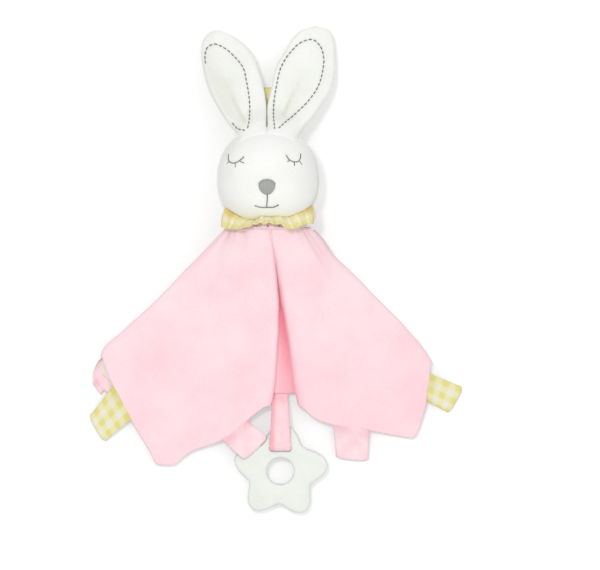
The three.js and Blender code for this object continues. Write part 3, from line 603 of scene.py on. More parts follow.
@dataclass(frozen=True)
class Print(Finish):
    """Plain-weave cotton with a small scattered print of dots and sprigs on cream."""

    name: str = "printed_cotton_lawn"
    slot: str = "printed_cotton"
    ground: str = "#F8F4E4"
    inks: tuple[str, ...] = ("#D9606A", "#7FA37C", "#9A9C9B")
    spacing: float = 7.5  # between motifs
    weave: float = 0.8  # between threads; real ones are 0.3, drawn coarser so that they show

    def shader(self, tree: bpy.types.NodeTree) -> Socket:
        """Each ink is a scatter of cells: a cell prints where it lies near its own centre.

        Args:
            tree: the material's nodes.

        Returns:
            The shader.
        """
        place = add(tree, "TexCoord").outputs["Object"]
        colour: Socket = add(tree, "RGB").outputs[0]
        colour.default_value = linear(self.ground)
        for i, ink in enumerate(self.inks):
            moved = add(tree, "Mapping", {"Vector": place, "Location": (0.013 * i, 0.021 * i, 0.007 * i)})
            scale = 1 / ((self.spacing + i) * MM)
            cells = add(tree, "TexVoronoi", {"Vector": moved.outputs[0], "Scale": scale}).outputs["Distance"]
            near = add(tree, "Math", {0: cells, 1: 0.2 + 0.04 * i}, operation="LESS_THAN").outputs[0]
            printed = add(tree, "MixRGB", {"Fac": near, "Color1": colour, "Color2": linear(ink)})
            colour = printed.outputs["Color"]
        weave = add(tree, "TexNoise", {"Vector": place, "Scale": 1 / (self.weave * MM), "Detail": 1.0})
        surface = {"Roughness": 0.85, "Specular IOR Level": 0.25}
        return coat(tree, colour, weave.outputs["Fac"], (0.06, 0.5), surface)


@dataclass(frozen=True)
class Thread(Finish):
    """Rayon embroidery thread: glossy filaments laid side by side."""

    name: str = "rayon_embroidery_thread"
    slot: str = "grey_thread"
    light: str = "#8F918F"  # painted highlight on top of a filament
    deep: str = "#6C6E6C"  # painted shade between filaments
    pitch: float = 0.7  # between filaments; real ones are 0.3, drawn coarser so that they show

    def shader(self, tree: bpy.types.NodeTree) -> Socket:
        """Bands across X, bent a little by noise, shade and raise the filaments.

        Args:
            tree: the material's nodes.

        Returns:
            The shader.
        """
        wave = {"Vector": add(tree, "TexCoord").outputs["Object"], "Scale": 1 / (self.pitch * 6.3 * MM)}
        wave |= {"Distortion": 0.8, "Detail": 1.0, "Detail Scale": 1.5}
        bands = add(tree, "TexWave", wave, bands_direction="X").outputs["Fac"]
        colour = add(tree, "ValToRGB", {"Fac": bands}, [(0.1, self.deep), (0.8, self.light)])
        surface = {"Roughness": 0.5, "Sheen Weight": 0.1}
        return coat(tree, colour.outputs["Color"], bands, (0.12, 0.7), surface)


@dataclass(frozen=True)
class Silicone(Finish):
    """Moulded white silicone with a fine matt spark finish and a faint milky glow inside."""

    name: str = "moulded_white_silicone"
    slot: str = "white_silicone"
    body: str = "#EFF2EC"
    shade: str = "#EAEEE7"
    grain: float = 0.9  # of the mould's finish; a real one is 0.1, drawn coarser so that it shows
    cloud: float = 12.0  # across a patch of slightly other tone

    def shader(self, tree: bpy.types.NodeTree) -> Socket:
        """A fine noise breaks the gloss and the surface, as a blasted mould does.

        Args:
            tree: the material's nodes.

        Returns:
            The shader.
        """
        place = add(tree, "TexCoord").outputs["Object"]
        grain, cloud = (
            add(tree, "TexNoise", {"Vector": place, "Scale": 1 / (size * MM), "Detail": 2.0}).outputs["Fac"]
            for size in (self.grain, self.cloud)
        )
        gloss = add(tree, "MapRange", {"Value": grain, "To Min": 0.42, "To Max": 0.58})
        colour = add(tree, "ValToRGB", {"Fac": cloud}, [(0.3, self.shade), (0.7, self.body)])
        surface = {"Roughness": gloss.outputs["Result"], "IOR": 1.42, "Subsurface Weight": 0.15}
        surface |= {"Subsurface Radius": (0.004, 0.004, 0.003), "Subsurface Scale": 0.5}
        return coat(tree, colour.outputs["Color"], grain, (0.03, 0.4), surface)


# Each pile's third colour is the painted shade in its folds.
PINK_VELOUR = Pile("sheared_pink_velour", "pink_velour", "#FFE4EA", "#FED8E0", "#F58F9F")
WHITE_PLUSH = Pile(
    "sheared_white_plush", "white_plush", "#F8F9F6", "#F1F2EE", "#D3D6C2", patch=30.0, sheen=0.75
)
CHECK = Gingham()
# The same check cotton, painted paler for the frill as painted light, with softer contrast where the gathers
# crowd its bands.
LIT_GATHERED_CHECK = Gingham(
    name="gathered_check_cotton_lit", dyed="#F3E797", half="#F8F0BC", plain="#FBF5DC", crease="#DFC266"
)
# The same check cotton, painted lighter for the loop as painted light, where the ears shade it.
LIT_LOOP_CHECK = Gingham(name="loop_check_cotton_lit", dyed="#FAED96", half="#FEF6C0", plain="#FEFAE6")
PINK_RIBBON = Ribbon()
PRINTED = Print()
GREY_THREAD = Thread()
# Its light and deep are the painted highlight and painted shade on the filaments.
SATIN_STITCH = Thread(name="rayon_satin_stitch", light="#AFB1AE", deep="#949693", pitch=0.45)
SILICONE = Silicone()


# Shared sizes of the object


@dataclass(frozen=True)
class Sizes:
    """Millimetres that more than one sub-assembly uses, as in the part's source."""

    blanket: float = 250.0
    velour: float = 1.4
    gap: float = 0.3
    backing: float = 0.9
    corner_lift: float = 2.4
    head_half_width: float = 34.0
    head_half_depth: float = 28.0
    crown: float = 34.0
    chin: float = 31.0
    head_y: float = 83.0
    chin_fullness: float = 2.6
    neck_y: float = 54.0

    @property
    def stack(self) -> float:
        """Both cloths and the gap between them."""
        return self.velour + self.gap + self.backing

    @property
    def roll(self) -> float:
        """Outer radius of a pleat's edge."""
        return self.stack + 0.6

    @property
    def pleat_wall(self) -> float:
        """Height of a pleat's wall."""
        return self.roll + 2.0

    @property
    def flap_top(self) -> float:
        """Top of the flaps beside the pleat: two stacks for the pleat's floor, then its wall."""
        return 2 * self.stack + 2 * self.gap + self.pleat_wall

    @property
    def corner_top(self) -> float:
        """Top of the hanging corners."""
        return self.stack + self.corner_lift

    def head_reach(self, y: Array | float) -> Array:
        """The head's reach at a height, as a share of its half width: an ellipse above, fuller below.

        Args:
            y: heights in millimetres.

        Returns:
            Shares from 0 to 1.
        """
        above = np.asarray(y) >= self.head_y
        climb = np.abs(np.asarray(y) - self.head_y) / np.where(above, self.crown, self.chin)
        power = np.where(above, 2.0, self.chin_fullness)
        return (1 - np.clip(climb, 0, 1) ** power) ** (1 / power)

    def face_z(self, x: Array | float, y: Array | float) -> Array:
        """Height of the face's surface above the table."""
        left = self.head_reach(y) ** 2 - (np.asarray(x) / self.head_half_width) ** 2
        return self.head_half_depth * (1 + np.sqrt(np.maximum(0, left)))

    def crown_y(self, x: Array) -> Array:
        """Y of the head's outline over its crown."""
        return self.head_y + self.crown * np.sqrt(np.maximum(0, 1 - (x / self.head_half_width) ** 2))


SIZES = Sizes()


# The blanket


@dataclass
class Blanket:
    """The gathered square: velour outside, printed cotton inside, with two flaps and a pleat between.

    Hem places are shares of the blanket's side, then the lift from the hanging corners to the flaps' top.
    """

    left_fold: tuple[float, float] = (-0.4535, -0.149)
    right_fold: tuple[float, float] = (0.4455, -0.168)
    left_flap: Points3 = (
        (-0.437, -0.186, 0.3), (-0.416, -0.234, 0.2), (-0.371, -0.322, 0.1), (-0.324, -0.4, 0.0),
        (-0.298, -0.443, 0.0), (-0.26, -0.445, 0.0), (-0.207, -0.408, 0.1), (-0.125, -0.378, 0.35),
        (-0.069, -0.335, 0.6), (-0.029, -0.302, 0.85),
    )
    right_flap: Points3 = (
        (0.129, -0.319, 0.8), (0.175, -0.335, 0.5), (0.28, -0.352, 0.2), (0.333, -0.363, 0.05),
        (0.392, -0.3715, 0.0), (0.406, -0.352, 0.0), (0.417, -0.32, 0.05), (0.4285, -0.276, 0.15),
        (0.436, -0.215, 0.3),
    )
    rear: Points2 = (
        (0.415, -0.2), (0.405, -0.26), (0.375, -0.315), (0.28, -0.318), (0.17, -0.296), (0.07, -0.24),
        (0.0, -0.24), (-0.08, -0.285), (-0.17, -0.355), (-0.25, -0.395), (-0.31, -0.36), (-0.37, -0.27),
        (-0.44, -0.245), (-0.473, -0.205), (-0.46, -0.165),
    )
    pleat_corners: Points2 = ((0.007, -0.286), (0.08, -0.289))
    pleat_hem: float = -0.2496
    pleat_rise: tuple[float, ...] = (0.0, 0.04, 0.22, 0.65, 1.0, 1.0)
    pleat_fan: float = 0.06  # how far apart the pleat's columns start round the shoulders
    shoulder_half: float = 29.7
    shoulder_y: float = 47.0
    axis_z: float = 17.0
    front_rise: float = 29.0
    rear_drop: float = 14.0
    front_lean: float = -6.4
    rear_lean: float = 3.0
    fold_radius: float = 3.5
    fold_turns: tuple[float, ...] = (60, 20, -20, -60)
    side_bulge: float = 4.0
    corner_bulge: float = 3.0
    shoulder_bulge: float = 2.6
    rows: int = 64
    hem_step: float = 2.6  # between columns at the hem
    hem_turn: float = 0.25  # of the hem's roll that each cloth's face takes up, in radians
    seam_share: float = 0.965  # how far down the cotton is sewn in
    puff: float = 1.0
    puff_wave: float = 62.0
    wrinkle: float = 0.35
    wrinkle_wave: float = 23.0
    gather: float = 0.9
    gather_counts: tuple[int, int] = (13, 29)  # wide and narrow gathers round the neck
    gather_run: float = 0.13  # share of the way down over which they fade
    flank: float = 0.08  # shade beside the pleat
    # fold: the painted shade of the outer face, set by surface().
    fold: Array | None = None

    def shoulder(self, angle: Array) -> Array:
        """The ring where the skirt leaves the shoulders: an ellipse higher at the front than at the back.

        Args:
            angle: radians round the ring, 0 at the right and a quarter turn at the front.

        Returns:
            One point per angle.
        """
        up = np.sin(angle)
        y = self.shoulder_y - np.where(up > 0, self.front_lean, self.rear_lean) * np.abs(up)
        z = self.axis_z + np.where(up > 0, self.front_rise, self.rear_drop) * up
        return grid(self.shoulder_half * np.cos(angle), y, z)

    def pleat(self, t: Array) -> tuple[Array, Array]:
        """The pleat's eleven columns: two rolled edges, two walls and a floor that widens as t cubed.

        Args:
            t: shares of the way down.

        Returns:
            X of each column, and how far it lies under the crest.
        """
        centre = sum(x for x, _ in self.pleat_corners) / 2 * SIZES.blanket * (1 - (1 - t) ** 2.5)
        hem_width = (self.pleat_corners[1][0] - self.pleat_corners[0][0]) * SIZES.blanket
        width = mix(1.0, hem_width, t**3)
        floor = np.minimum(2.0, 0.4 * width)
        slant = math.sqrt(0.5)
        roll = SIZES.roll
        out = grid(roll, roll * (1 - slant), 0 * t, -floor * (1 - slant), -floor)
        drop = np.array([0, roll * (1 - slant), roll, roll + 2 * slant, SIZES.pleat_wall])
        depth = mix(0.1, 1.0, smooth(0.0, 0.5, t))
        left = centre[:, None] - (width / 2)[:, None] - out
        right = centre[:, None] + (width / 2)[:, None] + out[:, ::-1]
        x = np.concatenate([left, centre[:, None], right], 1)
        return x, np.concatenate([drop, drop[-1:], drop[::-1]]) * depth[:, None]

    def side_fold(self, share: tuple[float, float], middle: float, order: int) -> tuple[Array, ...]:
        """Four columns round one of the blanket's side folds, on a circle square to the fold.

        Args:
            share: the fold's place on the hem.
            middle: its angle round the shoulders.
            order: 1 where the columns run from top to bottom, -1 where they run from bottom to top.

        Returns:
            Angles, hem places, and no bow.
        """
        point = np.array(share) * SIZES.blanket
        way = point - self.shoulder(np.array(middle))[:2]
        way /= np.linalg.norm(way)
        hand = np.sign(point[0])
        lean = order * np.radians(self.fold_turns)
        flat = point + np.array([-way[1], way[0]]) * hand * (self.fold_radius * (np.cos(lean) - 1))[:, None]
        hem = np.column_stack([flat, self.fold_radius * (1 + np.sin(lean))])
        return middle + hand * lean / 4, hem, np.zeros(len(lean))

    def flap(self, shares: Points3, hand: int) -> tuple[Array, ...]:
        """The columns of one front flap.

        Args:
            shares: the flap's hem places.
            hand: -1 for the left flap, 1 for the right.

        Returns:
            Angles, hem places, and how much each column bows with the pleat.
        """
        table = np.array(shares)
        place = np.arange(1, len(table) + 1) / (len(table) + 1)
        near = place if hand < 0 else 1 - place
        z = mix(SIZES.corner_top, SIZES.flap_top, table[:, 2])
        angles = np.radians(mix(163, 98, near) if hand < 0 else mix(17, 82, near))
        return angles, np.column_stack([table[:, :2] * SIZES.blanket, z]), near**2 * hand

    def stations(self) -> tuple[Array, Array, Array, slice]:
        """The skirt's columns in order: left fold and flap, pleat, right flap and fold, then the rear.

        Returns:
            Every column's angle, hem place and bow with the pleat, and which columns are the pleat's.
        """
        steps = np.array([0, 1, 2, 3, 4, 5, 4, 3, 2, 1, 0])
        hands = np.array([-1] * 5 + [0] + [1] * 5)
        corner_y = np.where(hands < 0, self.pleat_corners[0][1], self.pleat_corners[1][1])
        y = mix(corner_y, self.pleat_hem, np.array(self.pleat_rise)[steps]) * SIZES.blanket
        x, fall = self.pleat(np.ones(1))
        hem = np.column_stack([x[0], y, SIZES.flap_top - fall[0]])
        rear = np.pad(np.array(self.rear) * SIZES.blanket, ((0, 0), (0, 1)))
        parts = [
            self.side_fold(self.left_fold, math.pi, -1),
            self.flap(self.left_flap, -1),
            (np.arctan2(1, hands * (5 - steps) * self.pleat_fan), hem, np.zeros(11)),
            self.flap(self.right_flap, 1),
            self.side_fold(self.right_fold, 0.0, 1),
            (np.radians(np.linspace(-24, -156, len(rear))), rear, np.zeros(len(rear))),
        ]
        start = len(parts[0][0]) + len(self.left_flap)
        angles, hems, bows = (np.concatenate(kind) for kind in zip(*parts))
        return angles, hems, bows, slice(start, start + 11)

    def neck(self, top: Array, angles: Array) -> tuple[Array, Array]:
        """The seven rows of cloth above the shoulders, which draw in to a ring inside the chin.

        Args:
            top: the shoulders' ring.
            angles: each column's angle.

        Returns:
            The rows' points, and their shares, which are below 0.
        """
        shares = np.array([-1.0, -0.8, -0.6, -0.45, -0.3, -0.15, -0.06])
        reach = np.interp(-shares, [0, 0.45, 0.6, 0.8, 1], [1, 0.12, 0.0, 0.0, 0.0])[:, None, None]
        radius = np.interp(shares, [-1, -0.8, -0.6], [7.0, 6.4, 5.6])[:, None]
        stem_y = np.interp(shares, [-1, -0.8, -0.6, -0.3, 0], [53.0, 50.4, 48.4, 47.9, 47.5])[:, None]
        ring = grid(radius * np.cos(angles), stem_y, radius * np.sin(angles) + SIZES.head_half_depth)
        rows = mix(ring, top[None], reach)
        level = np.interp(-shares, [0, 0.15, 0.3, 0.45], [1, 0.55, 0.2, 0])[:, None]
        rows[..., 1] = mix(stem_y, top[:, 1], level)
        return rows, shares

    def skeleton(self) -> tuple[Array, Array, Array]:
        """The skirt's columns from neck to hem, as the solids have them but with many rows.

        Returns:
            The points, each column's shoulder angle, and each row's share of the way down, below 0 above the
            shoulders.
        """
        angles, hem, bow, pleat = self.stations()
        t = np.linspace(0, 1, self.rows)[:, None]
        top = self.shoulder(angles)
        fall = np.where(np.sin(angles) < -0.3, np.maximum(0, 1 - t / 0.3) ** 2, (1 - t) ** 1.6)
        x = mix(top[:, 0], hem[:, 0], t)
        y = mix(top[:, 1], hem[:, 1], t)
        z = mix(hem[:, 2], top[:, 2], fall)
        walls, drop = self.pleat(t[:, 0])
        for hand, edge in ((-1, walls[:, 0]), (1, walls[:, -1])):
            drift = edge - mix(edge[0], edge[-1], t[:, 0])
            x += np.where(bow * hand > 0, np.abs(bow), 0) * drift[:, None]
        x[:, pleat] = walls
        z[:, pleat] = mix(SIZES.flap_top, top[pleat, 2], (1 - t) ** 1.6) - drop
        right = slice(pleat.stop + len(self.right_flap), pleat.stop + len(self.right_flap) + 4)
        x[:, right] += self.side_bulge * np.sin(math.pi * t**2.5) + self.shoulder_bulge * bell(t - 0.05, 0.1)
        x[:, :4] -= self.corner_bulge * np.sin(math.pi * t**7)
        neck, shares = self.neck(top, angles)
        return np.concatenate([neck, grid(x, y, z)]), angles, np.concatenate([shares, t[:, 0]])

    def surface(self) -> tuple[Array, Array, Array]:
        """The skirt's outer face, smoothed across the columns and given its puffs, wrinkles and gathers.

        Returns:
            The points, the points that the layers beneath follow, and the unit normals of those.
        """
        points, angles, share = self.skeleton()
        across = np.concatenate([points[:, -3:], points, points[:, :4]], 1).swapaxes(0, 1)
        knots = np.arange(-3.0, points.shape[1] + 4)
        hem = np.linalg.norm(np.diff(points[-1], axis=0, append=points[-1][:1]), axis=1)
        parts = np.clip(np.round(hem / self.hem_step), 2, 12).astype(int)
        at = np.concatenate([i + np.arange(n) / n for i, n in enumerate(parts)])
        fine = evenly(across, knots, at).swapaxes(0, 1)
        angle = evenly(np.unwrap(np.concatenate([angles[-3:], angles, angles[:4]])), knots, at)
        normal = grid_normals(fine)
        low = smooth(0.02, 0.3, share)[:, None]
        puffs = self.puff * ripple(fine, self.puff_wave, 3) * low
        puffs += self.wrinkle * ripple(fine, self.wrinkle_wave, 5) * low
        near = np.exp(-np.maximum(share, 0) / self.gather_run) * smooth(-0.5, -0.05, share)
        near = near[:, None]
        wide, narrow = self.gather_counts
        fan = np.cos(wide * angle + 1.3 * np.sin(3 * angle))
        fan = fan + 0.5 * np.cos(narrow * angle + 2 * np.sin(2 * angle))
        pleats = self.gather * near * (fan - 1.1)
        under = fine + normal * (puffs - 2.6 * self.gather * near)[..., None]
        fine = fine + normal * (puffs + pleats)[..., None]
        fine[..., 2] = np.maximum(fine[..., 2], 0.0)
        self.fold = self.shade(fine[..., 0], angle, share, pleats, near)
        return fine, under, normal

    def shade(self, x: Array, angle: Array, share: Array, pleats: Array, near: Array) -> Array:
        """The painted shade on each point: in the pleat, beside it, between the gathers and deeper towards the
        hem.

        Args:
            x: X of every point.
            angle: each column's angle round the shoulders.
            share: each row's share of the way down.
            pleats: how far the gathers lift each point.
            near: how near each row is to the gathers.

        Returns:
            Strengths of the painted shade, from 0 to 1.
        """
        walls, _ = self.pleat(np.clip(share, 0, 1))
        half = np.maximum(np.ptp(walls[:, [2, -3]], axis=1) / 2, 1.3) + 1.0
        apart = (x - walls.mean(1)[:, None]) / half[:, None]
        # Painted shade in the pleat, fading in from the neck, and a lighter one beside it on the right.
        deep = np.exp(-np.abs(apart - 0.3) ** 3) + self.flank * bell(apart - 1.7, 1.2) * (apart > 0)
        deep *= (smooth(0.05, 0.62, share) * mix(0.84, 0.44, smooth(0.55, 0.95, share)))[:, None]
        # Painted shade between the gathers round the neck.
        painted_gather_shade = 0.28 * np.clip(-pleats / self.gather - 1.2, 0, 1) * near
        painted_gather_shade *= smooth(0.01, 0.08, share)[:, None]
        # Deeper pink towards the hem, and more to the right of the pleat, away from the key light.
        deeper_towards_hem = smooth(0.35, 0.9, share)[:, None] * mix(0.05, 0.11, smooth(-3, 3, apart))
        return np.clip(np.where(np.sin(angle)[None, :] > 0, deep + deeper_towards_hem, 0) + painted_gather_shade, 0, 1)

    def build(self) -> list[bpy.types.Object]:
        """Velour with its rolled hem, and the printed cotton under it.

        Returns:
            The two cloths.
        """
        outer, below, normal = self.surface()
        way = outer[-1] - outer[-3]
        way /= np.linalg.norm(way, axis=-1, keepdims=True)
        radius = SIZES.stack / 2
        turn = np.linspace(self.hem_turn, math.pi - self.hem_turn, 6)[:, None, None]
        roll = outer[-1] - normal[-1] * radius + radius * (np.cos(turn) * normal[-1] + np.sin(turn) * way)
        rows = len(outer)
        sewn = smooth(self.seam_share, self.seam_share + 0.03, np.linspace(0, 1, rows))
        depth = mix(SIZES.velour, SIZES.stack, sewn)[:, None, None]
        closed = np.concatenate([outer, roll, (below - normal * depth)[::-1]])
        closed[..., 2] = np.maximum(closed[..., 2], 0.0)
        # Painted shade on the outer face and the hem's roll; none inside.
        fold = np.concatenate([self.fold, np.repeat(self.fold[-1:], len(roll), 0), self.fold[::-1] * 0])
        skin = Surface(closed, around=True, rows_around=True, fold=fold)
        velour = outwards(PINK_VELOUR.dress(skin.mesh("velour_blanket")))
        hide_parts("blanket_velour")
        kept = slice(7, int(rows * self.seam_share))
        top = (below - normal * (SIZES.velour + SIZES.gap))[kept]
        low = (below - normal * SIZES.stack)[kept][::-1]
        lining = Surface(np.concatenate([top, low]), around=True, rows_around=True)
        cotton = outwards(PRINTED.dress(lining.mesh("cotton_backing")))
        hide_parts("blanket_backing")
        for cloth in (velour, cotton):
            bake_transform(cloth, "blanket", "neck", start=(0.0, 0.032, 0.028), end=(0.0, 0.051, 0.028))
        return [velour, cotton]


# Head and neck


@dataclass
class Head:
    """The stuffed head with its side seam, and the embroidered face.

    The face's lines are shares of the head's half width and of the chin's height, from the head's middle.
    """

    seam_depth: float = 0.5
    seam_width: float = 1.2
    lumps: float = 0.25
    lump_wave: float = 17.0
    sunk: float = 0.15  # how far the skin lies inside the solid's
    hollow: float = 10.6  # radius of the hole that the neck goes into
    nose_place: float = -0.226
    nose_size: tuple[float, float] = (11.2, 10.4)
    nose_rib: float = 0.62
    line: float = 0.37
    lash: float = 0.27
    stitch: float = 2.2
    left_eye: tuple[Points2, ...] = (
        ((-0.78, 0.496), (-0.768, 0.35), (-0.718, 0.308), (-0.646, 0.306), (-0.574, 0.341), (-0.466, 0.44)),
        ((-0.765, 0.335), (-0.785, 0.318), (-0.805, 0.3)),
        ((-0.64, 0.3), (-0.64, 0.25), (-0.64, 0.2)),
        ((-0.56, 0.345), (-0.512, 0.322), (-0.466, 0.299)),
    )
    right_eye: tuple[Points2, ...] = (
        ((0.368, 0.473), (0.426, 0.378), (0.512, 0.33), (0.612, 0.341), (0.648, 0.409), (0.654, 0.51)),
        ((0.44, 0.368), (0.417, 0.348), (0.395, 0.325)),
        ((0.53, 0.33), (0.532, 0.285), (0.534, 0.238)),
        ((0.63, 0.345), (0.658, 0.303), (0.685, 0.262)),
    )
    mouth: tuple[Points2, ...] = (
        ((-0.254, -0.624), (-0.174, -0.655), (-0.018, -0.664), (0.14, -0.652), (0.22, -0.609)),
        ((-0.002, -0.33), (-0.008, -0.5), (-0.02, -0.66)),
    )

    def build(self) -> list[bpy.types.Object]:
        """The plush body, turned about Y and flattened in Z, then the face.

        Returns:
            The head and its embroidery.
        """
        ends = np.linspace(-1, -0.9, 8, endpoint=False), np.linspace(0.9, 1, 9)[1:]
        rise = np.concatenate([ends[0], np.linspace(-0.9, 0.9, 64), ends[1]])
        y = SIZES.head_y + np.where(rise < 0, SIZES.chin, SIZES.crown) * np.sin(rise * math.pi / 2)
        reach = SIZES.head_reach(y) * SIZES.head_half_width
        keep = (reach > self.hollow + 1.2) | (rise > 0)
        y, reach = y[keep], reach[keep]
        inside_y = np.array([62.0, 58.0, 55.0, y[0] + 0.6])
        inside_r = self.hollow + np.array([-2, -0.3, 0, 0.5])
        y, reach = np.concatenate([inside_y, y]), np.concatenate([inside_r, np.maximum(reach, 0.02)])
        turn = np.linspace(0, TURN, 112, endpoint=False)
        x = reach[:, None] * np.cos(turn)
        z = reach[:, None] * np.sin(turn) * (SIZES.head_half_depth / SIZES.head_half_width)
        points = grid(x, y[:, None], z + SIZES.head_half_depth)
        outside = smooth(14, 20, reach)[:, None]
        seam = self.seam_depth * bell(z, self.seam_width) * smooth(10, 26, reach)[:, None]
        swell = self.lumps * ripple(points, self.lump_wave, 11) * outside - seam - self.sunk
        points = points - grid_normals(points) * swell[..., None]
        points[..., 2] = np.maximum(points[..., 2], 0.0)
        plush = outwards(WHITE_PLUSH.dress(Surface(points, around=True, caps=True).mesh("plush_head")))
        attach(plush, "head")
        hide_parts("head_face_panel", "head_back_panel", "head_stuffing")
        lines = {"eye_left": self.left_eye, "eye_right": self.right_eye, "mouth": self.mouth}
        return [plush, *(self.embroidery(name, line) for name, line in lines.items()), self.nose()]

    def on_face(self, places: Array) -> Array:
        """Shares of the head's half width and chin height as points of the face."""
        x, y = places[:, 0] * SIZES.head_half_width, SIZES.head_y + places[:, 1] * SIZES.chin
        return np.column_stack([x, y, SIZES.face_z(x, y)])

    def stitched(self, places: Points2) -> list[Array]:
        """A line of overlapping back stitches: short dashes that rise in their middle.

        Args:
            places: the line.

        Returns:
            One path per stitch.
        """
        length = lengths(self.on_face(through(places, np.linspace(0, 1, 60))))[-1]
        count = max(1, round(length / self.stitch))
        rise = 0.35 + 0.25 * np.sin(np.linspace(0, math.pi, 7))
        dashes = []
        for i in range(count):
            at = np.clip(np.linspace(i - 0.08, i + 1.08, 7) / count, 0, 1)
            dashes.append(self.on_face(through(places, at)) + rise[:, None] * [0, 0, 1])
        return dashes

    def embroidery(self, name: str, lines: tuple[Points2, ...]) -> bpy.types.Object:
        """One stitched feature: its first line in thick thread, and an eye's lashes in thin.

        Args:
            name: the feature.
            lines: its lines.

        Returns:
            The piece.
        """
        finer = self.line if name == "mouth" else self.lash
        radii = [self.line] + [finer] * (len(lines) - 1)
        tubes = []
        for line, radius in zip(lines, radii):
            tubes += many_tubes(self.stitched(line), radius)
        piece = GREY_THREAD.dress(joined(f"{name}_stitches", tubes))
        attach(piece, "head")
        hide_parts(f"{name}_embroidery")
        return piece

    def nose(self) -> bpy.types.Object:
        """A padded satin-stitch nose: a rounded triangle under a low dome, with a corded edge along its top.

        Returns:
            The piece.
        """
        turn = np.linspace(0, TURN, 72, endpoint=False)
        share = np.concatenate([np.linspace(0.02, 0.9, 14), [0.95, 0.985, 1.0]])[:, None]
        up = np.sin(turn)
        x = share * (np.cos(turn) * (1 + 0.2 * up)) * self.nose_size[0] / 2 - 0.4
        y = SIZES.head_y + self.nose_place * SIZES.chin + share * up * self.nose_size[1] / 2
        dome = 1.25 * (1 - share**4) ** 0.5
        ribs = 0.05 * np.sin((x + 0.35 * y) * TURN / self.nose_rib) * (share < 0.95)
        front = grid(x, y, SIZES.face_z(x, y) + 0.35 + dome + ribs)
        back = front[::-1].copy()
        back[..., 2] = SIZES.face_z(back[..., 0], back[..., 1]) + 0.05
        pad = Surface(np.concatenate([front, back]), around=True, caps=True)
        edge = front[-2, 4:33] + [0, 0, 0.35]
        piece = SATIN_STITCH.dress(joined("nose_stitches", [pad, *many_tubes([edge], 0.42)]))
        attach(piece, "head")
        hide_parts("nose_embroidery")
        return piece


